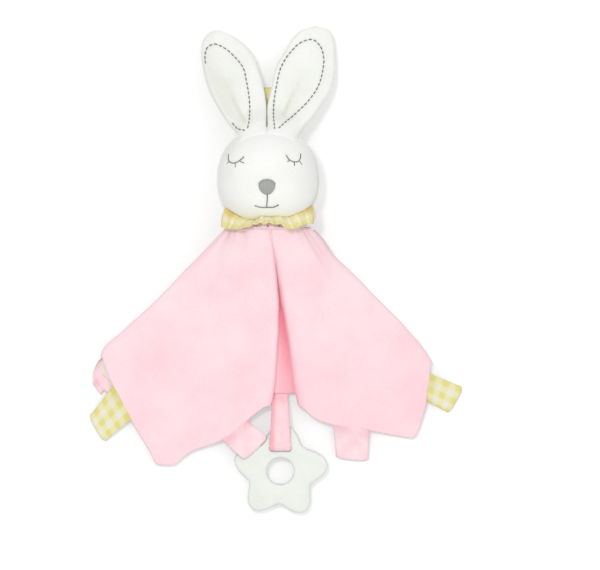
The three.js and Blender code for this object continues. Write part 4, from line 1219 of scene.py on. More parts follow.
@dataclass
class Collar:
    """The check frill gathered round the neck, and the thread that ties the neck.

    The ribbon leaves the tie, hugs the chin up to a hump and falls outwards to a wavy free edge. Both lines
    are heights Y against the angle round the neck in degrees: 0 at the right, 90 towards the face.
    """

    hump: Points2 = (
        (0, 61.5), (12, 63.4), (26, 60.4), (40, 57.5), (50, 55.9), (64, 55.8), (71, 56.2), (80, 56.2),
        (84, 55.4), (98, 56.2), (104, 55.4), (114, 53.6), (123, 53.9), (138, 54.9), (152, 57.8), (165, 61.8),
        (180, 60.0), (200, 57.0), (225, 55.0), (250, 54.6), (270, 54.2), (290, 54.6), (315, 55.0),
        (340, 58.0),
    )
    free: Points2 = (
        (0, 58.6), (8, 55.5), (18, 52.0), (30, 51.0), (43, 49.7), (53, 48.0), (60, 47.9), (67, 48.6),
        (72, 51.0), (80, 51.6), (92, 51.9), (103, 51.7), (114, 50.1), (123, 48.5), (140, 47.7), (150, 47.8),
        (164, 48.7), (171, 52.0), (180, 57.0), (200, 52.5), (225, 50.5), (250, 52.5), (270, 51.0),
        (290, 52.5), (315, 50.0), (340, 52.5),
    )
    hole: float = 12.0
    clearance: float = 1.2
    flare: float = 2.4
    least_reach: float = 30.4
    most_reach: float = 32.0
    flutes: int = 26
    flute: float = 0.5
    fullness: float = 2.3
    thickness: float = 0.9
    pockets: tuple[float, float] = (22, 156)  # degrees where the frill tucks in, painted in deep shade
    tie_radius: float = 9.1
    tie_thread: float = 0.7

    def level(self, table: Points2, turn: Array) -> Array:
        """One of the two lines read at angles, smooth and closed.

        Args:
            table: the line's angles in degrees and heights.
            turn: the angles in radians.

        Returns:
            One height per angle.
        """
        spots = np.array(table)
        spots = np.concatenate([spots[-3:] - [360, 0], spots, spots[:3] + [360, 0]])
        return evenly(spots[:, 1], spots[:, 0], np.degrees(turn))

    def build(self) -> list[bpy.types.Object]:
        """The frill is a grid of profiles round the neck; small flutes grow towards its free edge.

        Returns:
            The frill and the tie.
        """
        turn = np.linspace(0, TURN, 601)
        hump, free = self.level(self.hump, turn), self.level(self.free, turn)
        t = np.linspace(0, 1, 13)[:, None]
        climb = mix(SIZES.neck_y - 2.4, hump, t**1.5)
        chin = SIZES.head_reach(np.maximum(climb, SIZES.head_y - SIZES.chin + 0.4)) * SIZES.head_half_width
        rising = np.maximum(chin + self.clearance, mix(self.hole, chin[-1] + self.clearance, t))
        u = np.linspace(0, 1, 14)[1:, None]
        falling = mix(rising[-1], np.clip(rising[-1] + self.flare, self.least_reach, self.most_reach), u**0.8)
        r = np.concatenate([rising, falling])
        y = np.concatenate([climb, mix(hump, free, smooth(0, 1, u) * 0.35 + u * 0.65)])
        grow = np.concatenate([0.35 * t**2, 0.35 + 0.65 * u])
        phase = self.flutes * turn + 1.4 * np.sin(3 * turn + 0.4) + 0.9 * np.sin(7 * turn)
        wave = self.flute * grow * (1 + 0.4 * np.sin(4 * turn + 1)) * np.cos(phase)
        reach = r + 0.4 * wave
        depth = mix(SIZES.head_half_depth / SIZES.head_half_width, 0.87, grow)
        z = SIZES.head_half_depth + reach * depth * np.sin(turn)
        points = grid(reach * np.cos(turn), y + wave, np.maximum(z, 0.5))
        around = turn * self.least_reach * self.fullness
        uv = grid(around[None, :], lengths(points[:, 100])[:, None]) * MM
        # Painted shade in the two pockets, in the hollows between the flutes, and on the rising part, deepest
        # at the tie.
        side = np.min([np.abs(np.degrees(turn) - pocket) for pocket in self.pockets], axis=0)
        pocket = 0.85 * bell(side, 11) * smooth(0.4, 1.0, np.concatenate([t, 1 - u]))
        painted_flute_shade = 0.35 * np.clip(-np.cos(phase), 0, 1) * grow
        under = np.concatenate([1 - t, 0 * u]) ** 0.5
        frill = Surface(points, uv=uv, fold=np.clip(pocket + painted_flute_shade + under, 0, 1))
        ruffle = LIT_GATHERED_CHECK.dress(frill.mesh("check_ruffle"))
        thicken(ruffle, self.thickness)
        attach(ruffle, "neck")
        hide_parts("ruffle_collar")
        ring = np.linspace(0, TURN, 90)
        x, z = self.tie_radius * np.cos(ring), SIZES.head_half_depth + self.tie_radius * np.sin(ring)
        tie = np.column_stack([x, SIZES.neck_y + 0.3 * np.sin(8 * ring), z])
        thread = GREY_THREAD.dress(joined("neck_tie", many_tubes([tie], self.tie_thread)))
        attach(thread, "neck")
        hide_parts("neck_thread")
        return [ruffle, thread]


class Side(Enum):
    """Which ear."""

    LEFT = "left"
    RIGHT = "right"


@dataclass(frozen=True)
class EarLines:
    """One ear's lines in plan, in shares of its length from the middle of the fold line.

    Attributes:
        outer: its outer edge, from root to tip.
        inner: its inner edge, from root to tip.
        stitches: the running stitch.
        crease: the crease up its middle.
        roll: where its edge rolls up, or nothing.
    """

    outer: Points2
    inner: Points2
    stitches: tuple[Points2, ...]
    crease: Points2
    roll: Points2 = ()


EAR_LINES = {
    Side.LEFT: EarLines(
        outer=(
            (-0.272, -0.24), (-0.311, -0.136), (-0.421, -0.003), (-0.515, 0.147), (-0.594, 0.297),
            (-0.642, 0.439), (-0.673, 0.582), (-0.685, 0.715), (-0.677, 0.811), (-0.626, 0.897),
            (-0.556, 0.941), (-0.492, 0.945),
        ),
        inner=(
            (-0.01, -0.17), (-0.014, -0.058), (-0.018, 0.179), (-0.05, 0.383), (-0.097, 0.541),
            (-0.136, 0.661), (-0.208, 0.764), (-0.294, 0.841), (-0.397, 0.905), (-0.492, 0.945),
        ),
        stitches=(
            (
                (-0.641, 0.599), (-0.646, 0.685), (-0.618, 0.771), (-0.563, 0.802), (-0.443, 0.759),
                (-0.34, 0.668), (-0.254, 0.557), (-0.22, 0.419), (-0.194, 0.265), (-0.184, 0.127),
                (-0.197, -0.031), (-0.21, -0.085),
            ),
            ((-0.366, -0.015), (-0.309, -0.076), (-0.222, -0.094)),
        ),
        crease=((-0.42, 0.44), (-0.395, 0.34), (-0.371, 0.282), (-0.302, 0.119), (-0.237, 0.004)),
        roll=((-0.655, 0.6), (-0.6, 0.42), (-0.54, 0.27), (-0.46, 0.13), (-0.385, 0.02)),
    ),
    Side.RIGHT: EarLines(
        outer=(
            (0.268, -0.24), (0.311, -0.164), (0.37, -0.061), (0.468, 0.061), (0.565, 0.2), (0.639, 0.323),
            (0.683, 0.485), (0.691, 0.729), (0.683, 0.842), (0.629, 0.948), (0.545, 0.98), (0.477, 0.988),
        ),
        inner=(
            (-0.004, -0.17), (-0.003, -0.058), (-0.002, 0.17), (0.041, 0.362), (0.082, 0.567),
            (0.176, 0.729), (0.247, 0.85), (0.33, 0.932), (0.477, 0.988),
        ),
        stitches=(
            (
                (0.072, -0.085), (0.058, 0.093), (0.089, 0.368), (0.141, 0.574), (0.227, 0.711),
                (0.347, 0.823), (0.467, 0.848), (0.539, 0.78), (0.574, 0.66), (0.563, 0.522), (0.519, 0.368),
                (0.416, 0.213), (0.278, 0.076), (0.141, -0.044), (0.1, -0.085),
            ),
        ),
        crease=((0.345, 0.48), (0.321, 0.419), (0.264, 0.299), (0.209, 0.175), (0.155, 0.067)),
    ),
}


@dataclass
class Ear:
    """A padded ear: two plush panels sewn round the edge, with a crease and a running stitch."""

    side: Side
    length: float = 66.0
    centre: float = 7.0
    seam_gap: float = 0.3
    plush: float = 1.5
    tip_clearance: float = 0.6
    cup: float = 1.5
    sag: float = 1.3
    rows: int = 90
    columns: int = 40
    root_overlap: float = 6.0  # how far the root runs over the crown
    root_climb: float = 13.0  # over how much of the ear its front rises to meet the head
    root_merge: float = 4.0  # how far over the crown the root starts to sink into the head
    groove: float = 0.6  # how deep the stitches pull the plush in
    soft: float = 0.3
    soft_wave: float = 15.0
    stitch: float = 2.5
    stitch_gap: float = 0.95
    thread: float = 0.42
    fold_x: float = 0.018  # metres

    @property
    def lines(self) -> EarLines:
        """The ear's lines in plan."""
        return EAR_LINES[self.side]

    @property
    def fold_y(self) -> float:
        """Y of the line that the ear folds on."""
        return SIZES.head_y + SIZES.crown + self.centre / 2 + SIZES.gap

    def at(self, along: Array, across: Array) -> tuple[Array, Array, Array, Array]:
        """Plan place, mid height and half thickness at shares up the ear and across it.

        Args:
            along: shares from root to tip.
            across: shares from the outer edge to the inner one, of the same shape.

        Returns:
            X, Y, the height of the ear's middle layer and half its thickness.
        """
        outer, inner = (
            through(line, along.ravel()).reshape(*along.shape, 2) * self.length
            for line in (self.lines.outer, self.lines.inner)
        )
        plan = mix(outer, inner, across[..., None])
        x = plan[..., 0]
        room = self.fold_y - SIZES.crown_y(x) + self.root_overlap
        climb = np.maximum(plan[..., 1], -room)
        rise = np.clip(climb / self.length, 0, 1)
        edge = np.abs(2 * across - 1)
        edge_half = self.plush + self.seam_gap / 2
        dome = (1 - along**4) * np.sqrt(np.maximum(0, 1 - edge**2))
        cup = self.cup * edge**2 * np.minimum(1, 4 * rise) * (1 - along)
        drop = SIZES.head_half_depth - edge_half - self.tip_clearance
        mid = SIZES.head_half_depth - drop * (1 - (1 - rise) ** self.sag) + cup
        return x, climb + self.fold_y, mid, mix(edge_half, self.centre / 2, dome)

    def plan(self, shares: Points2, count: int) -> Array:
        """A line given in shares of the ear's length, as plan places along it in millimetres."""
        return through(shares, np.linspace(0, 1, count)) * self.length + [0, self.fold_y]

    @staticmethod
    def away(places: Array, line: Array) -> Array:
        """Distance in plan from each place to the nearest point of a line."""
        return np.min(np.linalg.norm(places[..., None, :2] - line[None, None], axis=-1), axis=2)

    def rooted(self, front: Array, edge: Array, inside: Array) -> Array:
        """The front's height where the root climbs the crown and sinks into the head's skin.

        Args:
            front: the front face.
            edge: how near each point is to the ear's edge, from 0 to 1.
            inside: how far each point lies inside the crown.

        Returns:
            One height per point.
        """
        x, y, z = front[..., 0], front[..., 1], front[..., 2]
        deepest = SIZES.face_z(x, SIZES.crown_y(x) - self.root_overlap) + 0.3
        climb = np.clip((inside + self.root_climb) / (self.root_overlap + self.root_climb), 0, 1) ** 1.3
        climb *= mix(np.sqrt(np.maximum(0, 1 - edge**4)), 1.0, smooth(-2, 3, inside))
        sinking = smooth(self.root_merge, self.root_overlap, inside)
        skin = SIZES.face_z(x, y) + mix(0.3, -0.8, sinking)
        raised = mix(z, deepest, climb)
        return np.where(inside > 0, mix(np.maximum(raised, skin), skin, sinking), raised)

    def shell(self, stitches: Sequence[Array]) -> tuple[Array, Array, Array]:
        """Both faces with their rounded edge, creases and sunk seam.

        Args:
            stitches: the running stitch's lines in plan.

        Returns:
            The front face, the closed shell's points and the painted shade of each point, in the crease, on the
            left ear's rolled side and faint all over.
        """
        along = (1 - (1 - np.linspace(0, 1, self.rows)) ** 1.25)[:, None] + np.zeros((1, self.columns))
        across = ((1 - np.cos(np.linspace(0, math.pi, self.columns))) / 2) + np.zeros((self.rows, 1))
        x, y, mid, half = self.at(along, across)
        edge = np.abs(2 * across - 1)
        rounding, tip = (
            np.sqrt(np.clip(1 - np.clip((share - start) / (1 - start), 0, 1) ** 2, 0.03, 1))
            for share, start in ((edge, 0.86), (along, 0.93))
        )
        half = half * rounding * tip
        front = grid(x, y, mid + half)
        near = self.away(front, self.plan(self.lines.crease, 80))
        sunk = self.groove * bell(self.away(front, np.concatenate(stitches)), 1.4)
        sunk += 1.3 * bell(near, 1.6) + 1.5 * bell(near, 7.5)
        run = smooth(0.0, 0.16, along) * (1 - smooth(0.28, 0.52, along))
        # Painted shade in the crease near the root and in the hollow round it, and a faint even tint over the
        # front.
        painted_ear_shade = 0.5 * bell(near, 0.9) * run + 0.15 * bell(near, 7) + 0.08
        raised = self.soft * ripple(front, self.soft_wave, 21) * smooth(0.04, 0.15, along)
        if self.lines.roll:
            # The left ear's rolled outer side takes painted shade.
            painted_ear_shade += 0.2 * (1 - smooth(0.15, 0.5, across))
            raised += 0.9 * bell(self.away(front, self.plan(self.lines.roll, 80)), 3.0)
        inside = SIZES.crown_y(x) - y
        front[..., 2] = np.maximum(front[..., 2] + (raised - sunk) * rounding, mid - 0.2 * half)
        front[..., 2] = self.rooted(front, edge, inside)
        points = np.concatenate([front, grid(x, y, mid - half)[:, ::-1]], 1)
        points[..., 2] = np.maximum(points[..., 2], 0.1)
        return front, points, np.concatenate([painted_ear_shade * smooth(-0.5, 6.0, -inside), 0 * painted_ear_shade], 1)

    def dashes(self, line: Array, front: Array) -> list[Array]:
        """The running stitches along one line, laid on the front face.

        Args:
            line: the line in plan.
            front: the front face.

        Returns:
            One path per stitch.
        """
        apart = np.linalg.norm(line[:, None, None] - front[None, ..., :2], axis=-1).reshape(len(line), -1)
        height = front[..., 2].ravel()[np.argmin(apart, axis=1)]
        height = np.convolve(np.pad(height, 4, "edge"), np.full(9, 1 / 9), "valid")
        track = np.column_stack([line, height])
        step = self.stitch + self.stitch_gap
        count = max(1, round(lengths(track)[-1] / step))
        lift = (0.1 + 0.28 * np.sin(np.linspace(0, math.pi, 7)))[:, None] * [0, 0, 1]
        share = self.stitch / step * np.linspace(0, 1, 7)
        return [through(track, (i + share) / count) + lift for i in range(count)]

    def build(self) -> list[bpy.types.Object]:
        """The plush shell, then the stitches along the seam.

        Returns:
            The two pieces.
        """
        name = self.side.value
        stitches = [self.plan(line, 200) for line in self.lines.stitches]
        front, points, fold = self.shell(stitches)
        skin = Surface(points, around=True, caps=True, fold=fold)
        shell = outwards(WHITE_PLUSH.dress(skin.mesh(f"plush_ear_{name}")))
        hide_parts(f"ear_{name}_front_panel", f"ear_{name}_back_panel", f"ear_{name}_wadding")
        tubes = many_tubes([dash for line in stitches for dash in self.dashes(line, front)], self.thread)
        thread = GREY_THREAD.dress(joined(f"ear_{name}_stitches", tubes))
        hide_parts(f"ear_{name}_stitching")
        root = -self.fold_x if self.side is Side.LEFT else self.fold_x
        for piece in (shell, thread):
            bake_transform(piece, "head", f"ear_{name}", start=(root, 0.1165, 0.028), end=(root, 0.1245, 0.028))
        return [shell, thread]


# Ribbons


@dataclass
class Tag:
    """A ribbon folded in two and sewn into the hem.

    Its corners are shares of the blanket's side: two at the root, then two at the outer end.
    """

    name: str
    body: str
    finish: Finish
    corners: Points2
    heights: tuple[float, ...]
    ribbon: float = 0.9
    half: float = 0.6
    puff: float = 0.55
    soft: float = 0.25
    soft_wave: float = 19.0
    corner: float = 0.085  # how much shorter the ribbon is at its corners, as a share
    sewn_in: float = 1.2
    # Strength of the painted shade at the root, where the hem covers it, and how far it runs out.
    shade: float = 0.35
    shade_run: float = 4.5

    def build(self) -> bpy.types.Object:
        """The ribbon's middle line runs out on top, round the bend and back underneath.

        Returns:
            The tag.
        """
        root_a, root_b, outer_a, outer_b = (np.array(c) * SIZES.blanket for c in self.corners)
        length = (np.linalg.norm(outer_a - root_a) + np.linalg.norm(outer_b - root_b)) / 2
        width = (np.linalg.norm(root_b - root_a) + np.linalg.norm(outer_b - outer_a)) / 2
        run = np.linspace(0, length, 30) - self.sewn_in
        swell = self.half + self.puff * smooth(0.25, 0.95, run / length)
        turn = np.linspace(math.pi / 2, -math.pi / 2, 11)[1:-1]
        along = np.concatenate([run, run[-1] + swell[-1] * np.cos(turn), run[::-1]])
        up = np.concatenate([swell, swell[-1] * np.sin(turn), -swell[::-1]])
        path = lengths(np.column_stack([along, up]))
        across = np.linspace(0, 1, 17)
        far = (along / length)[:, None]
        share = far * (1 - self.corner * np.abs(2 * across - 1) ** 5 * smooth(0.4, 1.0, far))
        share = share[..., None]
        a, b = mix(root_a, outer_a, share), mix(root_b, outer_b, share)
        levels = np.array(self.heights)
        climb = evenly(levels, np.linspace(0, 1, len(levels)), np.clip(along / length, 0, 1))
        flat = mix(a, b, across[None, :, None])
        points = grid(flat[..., 0], flat[..., 1], (climb + up)[:, None])
        points[..., 2] += self.soft * ripple(points * [1, 1, 0], self.soft_wave, 31) * smooth(0.2, 0.9, far)
        points[..., 2] = np.maximum(points[..., 2], self.ribbon / 2)
        uv = grid(path[:, None], across * width) * MM
        # Painted shade at the root, in streaks across the ribbon.
        fold = self.shade * bell(along, self.shade_run)[:, None] * (0.6 + 0.4 * np.sin(7 * across))
        made = self.finish.dress(Surface(points, uv=uv, fold=fold).mesh(self.name))
        thicken(made, self.ribbon * 0.9)
        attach(made, self.body)
        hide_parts(self.name.replace("ribbon_", ""))
        return made


@dataclass
class HangingLoop:
    """The check ribbon loop sewn behind the head, lying open between the ears."""

    width: float = 20.0
    opening: float = 5.0
    ribbon: float = 0.9
    reach: float = 29.0
    lift: float = 6.0
    root: tuple[float, float] = (115.38, 15.9)

    def layer(self, up: float) -> list[Array]:
        """One layer's middle line in Y and Z, from the seam to the bend.

        Args:
            up: 1 for the upper layer, -1 for the lower.

        Returns:
            Points along the line.
        """
        half = (self.opening + self.ribbon) / 2
        root = np.array(self.root)
        end_y, rest = self.root[0] + self.reach, self.opening / 2 + self.ribbon + self.lift
        knee = np.array([mix(root[0], end_y, 0.48), rest])
        reach = float(np.linalg.norm(knee - root))
        way = (knee - root) / reach
        out = np.array([-way[1], way[0]])
        leaving = [root + way * far + out * up * wide for far, wide in (
            (-0.8, 0.55), (0, 0.6), (3.2, 0.65), (reach / 2, 1.75)
        )]
        knee_y = mix(knee[0], end_y, 0.15)
        return [*leaving, *(np.array([y, rest + up * half]) for y in (knee_y, end_y - half - 0.9))]

    def build(self) -> bpy.types.Object:
        """A teardrop of ribbon: two layers leave the seam together, spread and meet round the end.

        Returns:
            The loop.
        """
        half = (self.opening + self.ribbon) / 2
        rest = self.opening / 2 + self.ribbon + self.lift
        turn = np.radians([60, 30, 0, -30, -60])
        end_y = self.root[0] + self.reach - half - 0.45
        bend = np.column_stack([end_y + half * np.cos(turn), rest + half * np.sin(turn)])
        line = through(np.array([*self.layer(1.0), *bend, *self.layer(-1.0)[::-1]]), np.linspace(0, 1, 90))
        line[:, 1] = np.maximum(line[:, 1], self.ribbon / 2 + 0.05)
        path = lengths(line)
        across = np.linspace(-0.5, 0.5, 17) * self.width
        points = grid(across, line[:, :1], line[:, 1:])
        uv = grid(path[:, None], across + 30) * MM
        made = LIT_LOOP_CHECK.dress(Surface(points, uv=uv).mesh("ribbon_hanging_loop"))
        thicken(made, self.ribbon * 0.9)
        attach(made, "hanging_loop")
        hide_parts("hanging_loop")
        return made


@dataclass
class Teether:
    """The star and the ribbon strap that holds it, a closed loop through the star's slot."""

    centre: tuple[float, float] = (8.5, -115.8)
    slot_y: float = -100.8
    radius: float = 32.3
    valley: float = 22.8
    thickness: float = 9.0
    edge: float = 2.4
    hole: float = 9.2
    crown: float = 0.4
    arm_turns: tuple[float, ...] = (8, 86, 164, 234, 301)
    nub_radius: float = 0.75
    nub_height: float = 0.4
    nubs: Points2 = (
        (-17.5, -17.0), (-14.8, -16.2), (-12.2, -17.2), (-18.2, -19.8), (-15.6, -19.4), (-12.9, -20.2),
        (-16.6, -22.6), (-13.8, -23.2),
    )
    slot_length: float = 15.4
    slot_width: float = 4.8
    lift: float = 2.2
    strap: float = 1.6
    root: tuple[float, float, float] = (8.3, -64.45, 4.5)
    root_width: float = 11.0
    bend_width: float = 14.4
    slip: float = 0.8  # the strap's width inside the slot, as a share of the bend's

    @property
    def tilt(self) -> float:
        """The star leans on its far arms, its upper arm held up by the strap under it."""
        lowest = max(-math.sin(math.radians(turn)) for turn in self.arm_turns)
        return math.asin(self.lift / (self.slot_y - self.centre[1] + self.radius * lowest))

    def build(self) -> list[bpy.types.Object]:
        """The star, then its strap."""
        return [self.star(), self.ribbon()]

    def profile(self) -> Array:
        """The star's closed section from hole to rim and back: rounds of a quarter turn and flats between.

        Returns:
            Rows of the share of the way from hole to rim, the inset from it and the height.
        """
        quarter = np.linspace(0, math.pi / 2, 9)
        e, f = self.edge, self.edge * 0.7
        rows = [(1.0, -e * (1 - math.cos(q)), e * (1 - math.sin(q))) for q in quarter]
        rows += [(s, -e * s + f * (1 - s), 0.0) for s in np.linspace(1, 0, 24)[1:-1]]
        rows += [(0.0, f * (1 - math.sin(q)), f * (1 - math.cos(q))) for q in quarter]
        bottom = np.array(rows)
        return np.concatenate([bottom, bottom[::-1] * [1, 1, -1] + [0, 0, self.thickness]])

    def star(self) -> bpy.types.Object:
        """The radius swings five times between arm and valley, as a cosine, and carries the section round.

        Returns:
            The star.
        """
        turn = np.linspace(0, TURN, 240, endpoint=False)
        marks = np.array([self.arm_turns[-1] - 360, *self.arm_turns, self.arm_turns[0] + 360])
        arms = np.cos(TURN * np.interp(np.degrees(turn), marks, np.arange(len(marks))))
        rim = mix(self.valley, self.radius, (1 + arms) / 2)
        s, inset, z = (column[:, None] for column in self.profile().T)
        reach = mix(self.hole, rim, s) + inset
        upper = z > self.thickness / 2
        x, y = reach * np.cos(turn), reach * np.sin(turn)
        height = z + self.crown * np.sin(np.clip(s, 0, 1) * math.pi) * np.where(upper, 1, -1) + 0 * reach
        for u, v in self.nubs:
            height += np.where(upper, self.nub_height, 0) * bell(np.hypot(x - u, y - v), self.nub_radius)
        out = y - (self.slot_y - self.centre[1])
        cos, sin = math.cos(self.tilt), math.sin(self.tilt)
        points = grid(
            self.centre[0] + x, self.slot_y + out * cos - height * sin, self.lift + out * sin + height * cos
        )
        body = Surface(points, around=True, rows_around=True)
        made = outwards(SILICONE.dress(body.mesh("silicone_star")))
        self.cut_slot(made)
        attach(made, "teether_star")
        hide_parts("teether_star")
        return made

    def cut_slot(self, star: bpy.types.Object) -> None:
        """Cuts the strap's slot with a round-ended bar, and applies the cut.

        Args:
            star: the star.
        """
        end = self.slot_width / 2
        half = self.slot_length / 2 - end
        turn = np.linspace(0, TURN, 40, endpoint=False)
        x = self.centre[0] + np.sign(np.cos(turn)) * half + end * np.cos(turn)
        levels = np.array([-5.0, self.thickness + 8])[:, None]
        round_bar = Surface(grid(x, self.slot_y + end * np.sin(turn), levels), around=True, caps=True)
        bar = outwards(round_bar.mesh("slot_bar"))
        cut = star.modifiers.new("slot", "BOOLEAN")
        cut.operation, cut.object, cut.solver = "DIFFERENCE", bar, "EXACT"
        bpy.context.view_layer.update()
        data = bpy.data.meshes.new_from_object(star.evaluated_get(bpy.context.evaluated_depsgraph_get()))
        star.modifiers.clear()
        star.data = data
        data.shade_smooth()
        bpy.data.objects.remove(bar)
        data.set_sharp_from_angle(angle=math.radians(50))

    def strap_line(self) -> Array:
        """The strap's middle in Y and Z: over the star's arm, down through the slot and back beneath.

        Returns:
            120 points along it.
        """
        t, slot = self.strap, self.slot_y
        _, y0, z0 = self.root
        arm = self.centre[1] + self.radius
        slope = math.tan(self.tilt)
        top = self.lift + self.thickness
        over = top + (arm - slot) * slope + 0.45 + t / 2
        line = [
            (y0 + 0.9, z0 + 0.2), (y0 - 1.2, z0 + 0.95), (mix(y0, arm, 0.4), mix(z0, over, 0.55) + 0.4),
            (mix(y0, arm, 0.8), over - 0.2), (arm - 1.5, over + 0.1),
            (slot + 4, top + 0.5 + t / 2 + 4 * slope), (slot + 0.9, top + 0.4 + t / 2),
            (slot - 0.8, top + 0.75), (slot - 0.7, top - 1.0), (slot - 0.2, top / 2), (slot + 0.1, 1.9),
            (slot + 0.9, t / 2), (slot + 6, t / 2), (mix(y0, arm, 0.9), t / 2),
            (mix(y0, arm, 0.4), t / 2 + 0.1), (mix(y0, arm, 0.2), mix(z0, t / 2, 0.55)),
            (y0 - 1.2, z0 - 0.95), (y0 + 0.9, z0 - 0.2),
        ]
        places = through(line, np.linspace(0, 1, 120))
        places[:, 1] = np.maximum(places[:, 1], t / 2)
        return places

    def ribbon(self) -> bpy.types.Object:
        """The strap: its width grows from seam to bend and narrows where it goes through the slot.

        Returns:
            The strap.
        """
        line = self.strap_line()
        path = lengths(line)
        share = np.clip((self.root[1] - line[:, 0]) / (self.root[1] - self.slot_y), 0, 1)[:, None]
        across = np.linspace(-0.5, 0.5, 15)[None, :]
        order = np.arange(len(line))[:, None]
        bend = np.argmax(line[:, 0] < self.slot_y - 0.2)
        width = mix(self.root_width, self.bend_width, smooth(0, 1, share))
        width = width * mix(1.0, self.slip, smooth(bend - 1, bend + 2, order))
        x = mix(self.root[0], self.centre[0], share) + across * width
        crown = 0.35 * (1 - (2 * across) ** 2) * smooth(0.0, 0.35, share) * (order < len(line) * 0.55)
        points = grid(x, line[:, :1], line[:, 1:] + crown)
        uv = grid(path[:, None], across * self.bend_width) * MM
        # Painted shade along both edges, strongest on the left, a faint tint all over and more at the root by
        # the seam.
        edges = 0.55 * bell(across + 0.42, 0.16) + 0.22 * bell(across - 0.5, 0.1)
        fold = edges + 0.1 + 0.2 * bell(share, 0.12)
        cloth = Surface(points, uv=uv, fold=np.clip(fold, 0, 1))
        made = PINK_RIBBON.dress(cloth.mesh("ribbon_strap"))
        thicken(made, self.strap * 0.85)
        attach(made, "teether_strap")
        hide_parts("teether_strap")
        return made


def seam(lift: float) -> float:
    """Height of the hem's middle at a lift from the hanging corners to the flaps' top."""
    return mix(SIZES.corner_top, SIZES.flap_top, lift) - SIZES.stack / 2


def hem_tags() -> list[Tag]:
    """The five ribbon tags, with the heights of their middle from the seam out.

    Returns:
        The tags.
    """
    rest = 1.65
    over = Teether.lift + Teether.thickness + 0.6 + 1.05
    falling = {lift: (seam(lift), mix(seam(lift), rest, 0.55), rest) for lift in (0.15, 0.25, 0.35)}
    rows = (
        ("gingham_left", CHECK, falling[0.15],
            ((-0.4222, -0.2352), (-0.3742, -0.3275), (-0.487, -0.319), (-0.446, -0.387))),
        ("gingham_right", CHECK, falling[0.25],
            ((0.4418, -0.2), (0.4358, -0.2768), (0.532, -0.2385), (0.493, -0.307))),
        ("pink_right", PINK_RIBBON, falling[0.35],
            ((0.177, -0.3412), (0.275, -0.3572), (0.186, -0.4312), (0.273, -0.4392))),
        ("pink_left", PINK_RIBBON, (seam(0.5), mix(seam(0.5), over, 0.9), over + 0.3, over),
            ((-0.1217, -0.3826), (-0.0525, -0.329), (-0.064, -0.4352), (0.0005, -0.3735))),
        ("pink_rear", PINK_RIBBON, (2.2, 1.5, 1.4),
            ((-0.4685, -0.2168), (-0.4465, -0.2462), (-0.4775, -0.2255), (-0.4545, -0.2575))),
    )
    bodies = {"pink_rear": "blanket"}
    return [
        Tag(f"ribbon_tag_{name}", bodies.get(name, f"tag_{name}"), finish, corners, heights)
        for name, finish, heights, corners in rows
    ]


# Studio


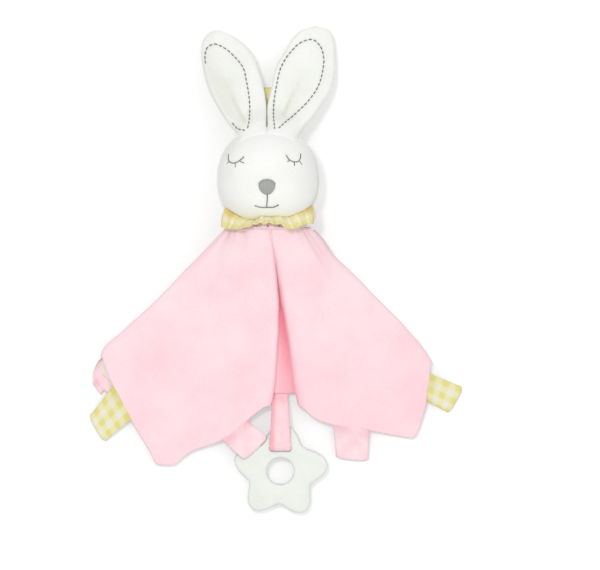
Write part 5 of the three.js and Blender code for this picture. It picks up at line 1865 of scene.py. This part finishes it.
@dataclass
class Studio:
    """The camera straight above, soft light from the upper left and a white floor that keeps the shadow."""

    look: tuple[float, float] = (21.8, 10.2)
    distance: float = 5.0
    view_width: float = 0.408
    key: float = 10.4
    key_place: tuple[float, float, float] = (-0.32, 0.42, 1.9)
    key_size: float = 0.2
    fill: float = 3.2
    fill_place: tuple[float, float, float] = (1.1, -0.1, 1.5)
    fill_size: float = 1.2
    ambient: float = 0.71
    paper: str = "#CFCFCF"
    glow: float = 0.43
    floor_half: float = 2.5
    floor_z: float = -0.0002

    def camera(self) -> None:
        """A long lens looking straight down, with +Y up in the picture."""
        data = bpy.data.cameras.new("camera")
        data.lens = data.sensor_width * self.distance / self.view_width
        made = linked("camera", data)
        made.location = (self.look[0] * MM, self.look[1] * MM, self.distance)
        bpy.context.scene.camera = made

    def lamp(self, name: str, place: tuple[float, float, float], power: float, size: float) -> None:
        """A square area lamp aimed at the origin.

        Args:
            name: the lamp's name.
            place: where it stands, in metres.
            power: its power in watts.
            size: its side in metres.
        """
        data = bpy.data.lights.new(name, "AREA")
        data.energy, data.size = power, size
        made = linked(name, data)
        made.location = place
        made.rotation_euler = (Vector((0, 0, 0)) - made.location).to_track_quat("-Z", "Y").to_euler()

    def floor(self) -> None:
        """A plane whose own light lifts it to white for the camera; its diffuse share carries the shadow."""
        material = bpy.data.materials.new("white_paper")
        material.use_nodes = True
        tree = material.node_tree
        tree.nodes.clear()
        rays = add(tree, "LightPath").outputs
        seen = rays["Is Camera Ray"]
        for other in (rays["Is Glossy Ray"], rays["Is Transmission Ray"]):
            seen = add(tree, "Math", {0: seen, 1: other}, operation="MAXIMUM").outputs[0]
        power = add(tree, "Math", {0: seen, 1: self.glow}, operation="MULTIPLY").outputs[0]
        paper = add(tree, "BsdfDiffuse", {"Color": linear(self.paper)}).outputs[0]
        glow = add(tree, "Emission", {"Color": (1, 1, 1, 1), "Strength": power}).outputs[0]
        both = add(tree, "AddShader", {0: paper, 1: glow}).outputs[0]
        add(tree, "OutputMaterial", {"Surface": both})
        half = self.floor_half
        corners = [(-half, -half, 0), (half, -half, 0), (half, half, 0), (-half, half, 0)]
        data = bpy.data.meshes.new("floor")
        data.from_pydata(corners, [], [(0, 1, 2, 3)])
        data.materials.append(material)
        made = linked("floor", data)
        made.location.z = self.floor_z

    def world(self) -> None:
        """An even white surround, at full white for the camera alone."""
        world = bpy.data.worlds.new("surround")
        bpy.context.scene.world = world
        world.use_nodes = True
        tree = world.node_tree
        tree.nodes.clear()
        light, white = (
            add(tree, "Background", {"Color": (1, 1, 1, 1), "Strength": power}).outputs[0]
            for power in (self.ambient, 1.0)
        )
        seen = add(tree, "LightPath").outputs["Is Camera Ray"]
        both = add(tree, "MixShader", {0: seen, 1: light, 2: white}).outputs[0]
        add(tree, "OutputWorld", {"Surface": both})

    def build(self) -> None:
        """Camera, lamps, floor, surround and the plain view transform."""
        self.camera()
        self.lamp("key", self.key_place, self.key, self.key_size)
        self.lamp("fill", self.fill_place, self.fill, self.fill_size)
        self.floor()
        self.world()
        bpy.context.scene.view_settings.view_transform = "Standard"


def main() -> None:
    """Builds the sub-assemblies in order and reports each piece."""
    logging.basicConfig(level=logging.INFO, format="%(message)s")
    Studio().build()
    made: list[bpy.types.Object] = []
    for part in (Blanket(), Head(), Collar(), Ear(Side.LEFT), Ear(Side.RIGHT), Teether()):
        made += part.build()
    made.append(HangingLoop().build())
    made += [tag.build() for tag in hem_tags()]
    for piece in made:
        bodies = piece.get("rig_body") or " and ".join(piece["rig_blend"])
        log.info("%s: %d faces, moves with %s", piece.name, len(piece.data.polygons), bodies)


if __name__ == "__main__":
    main()
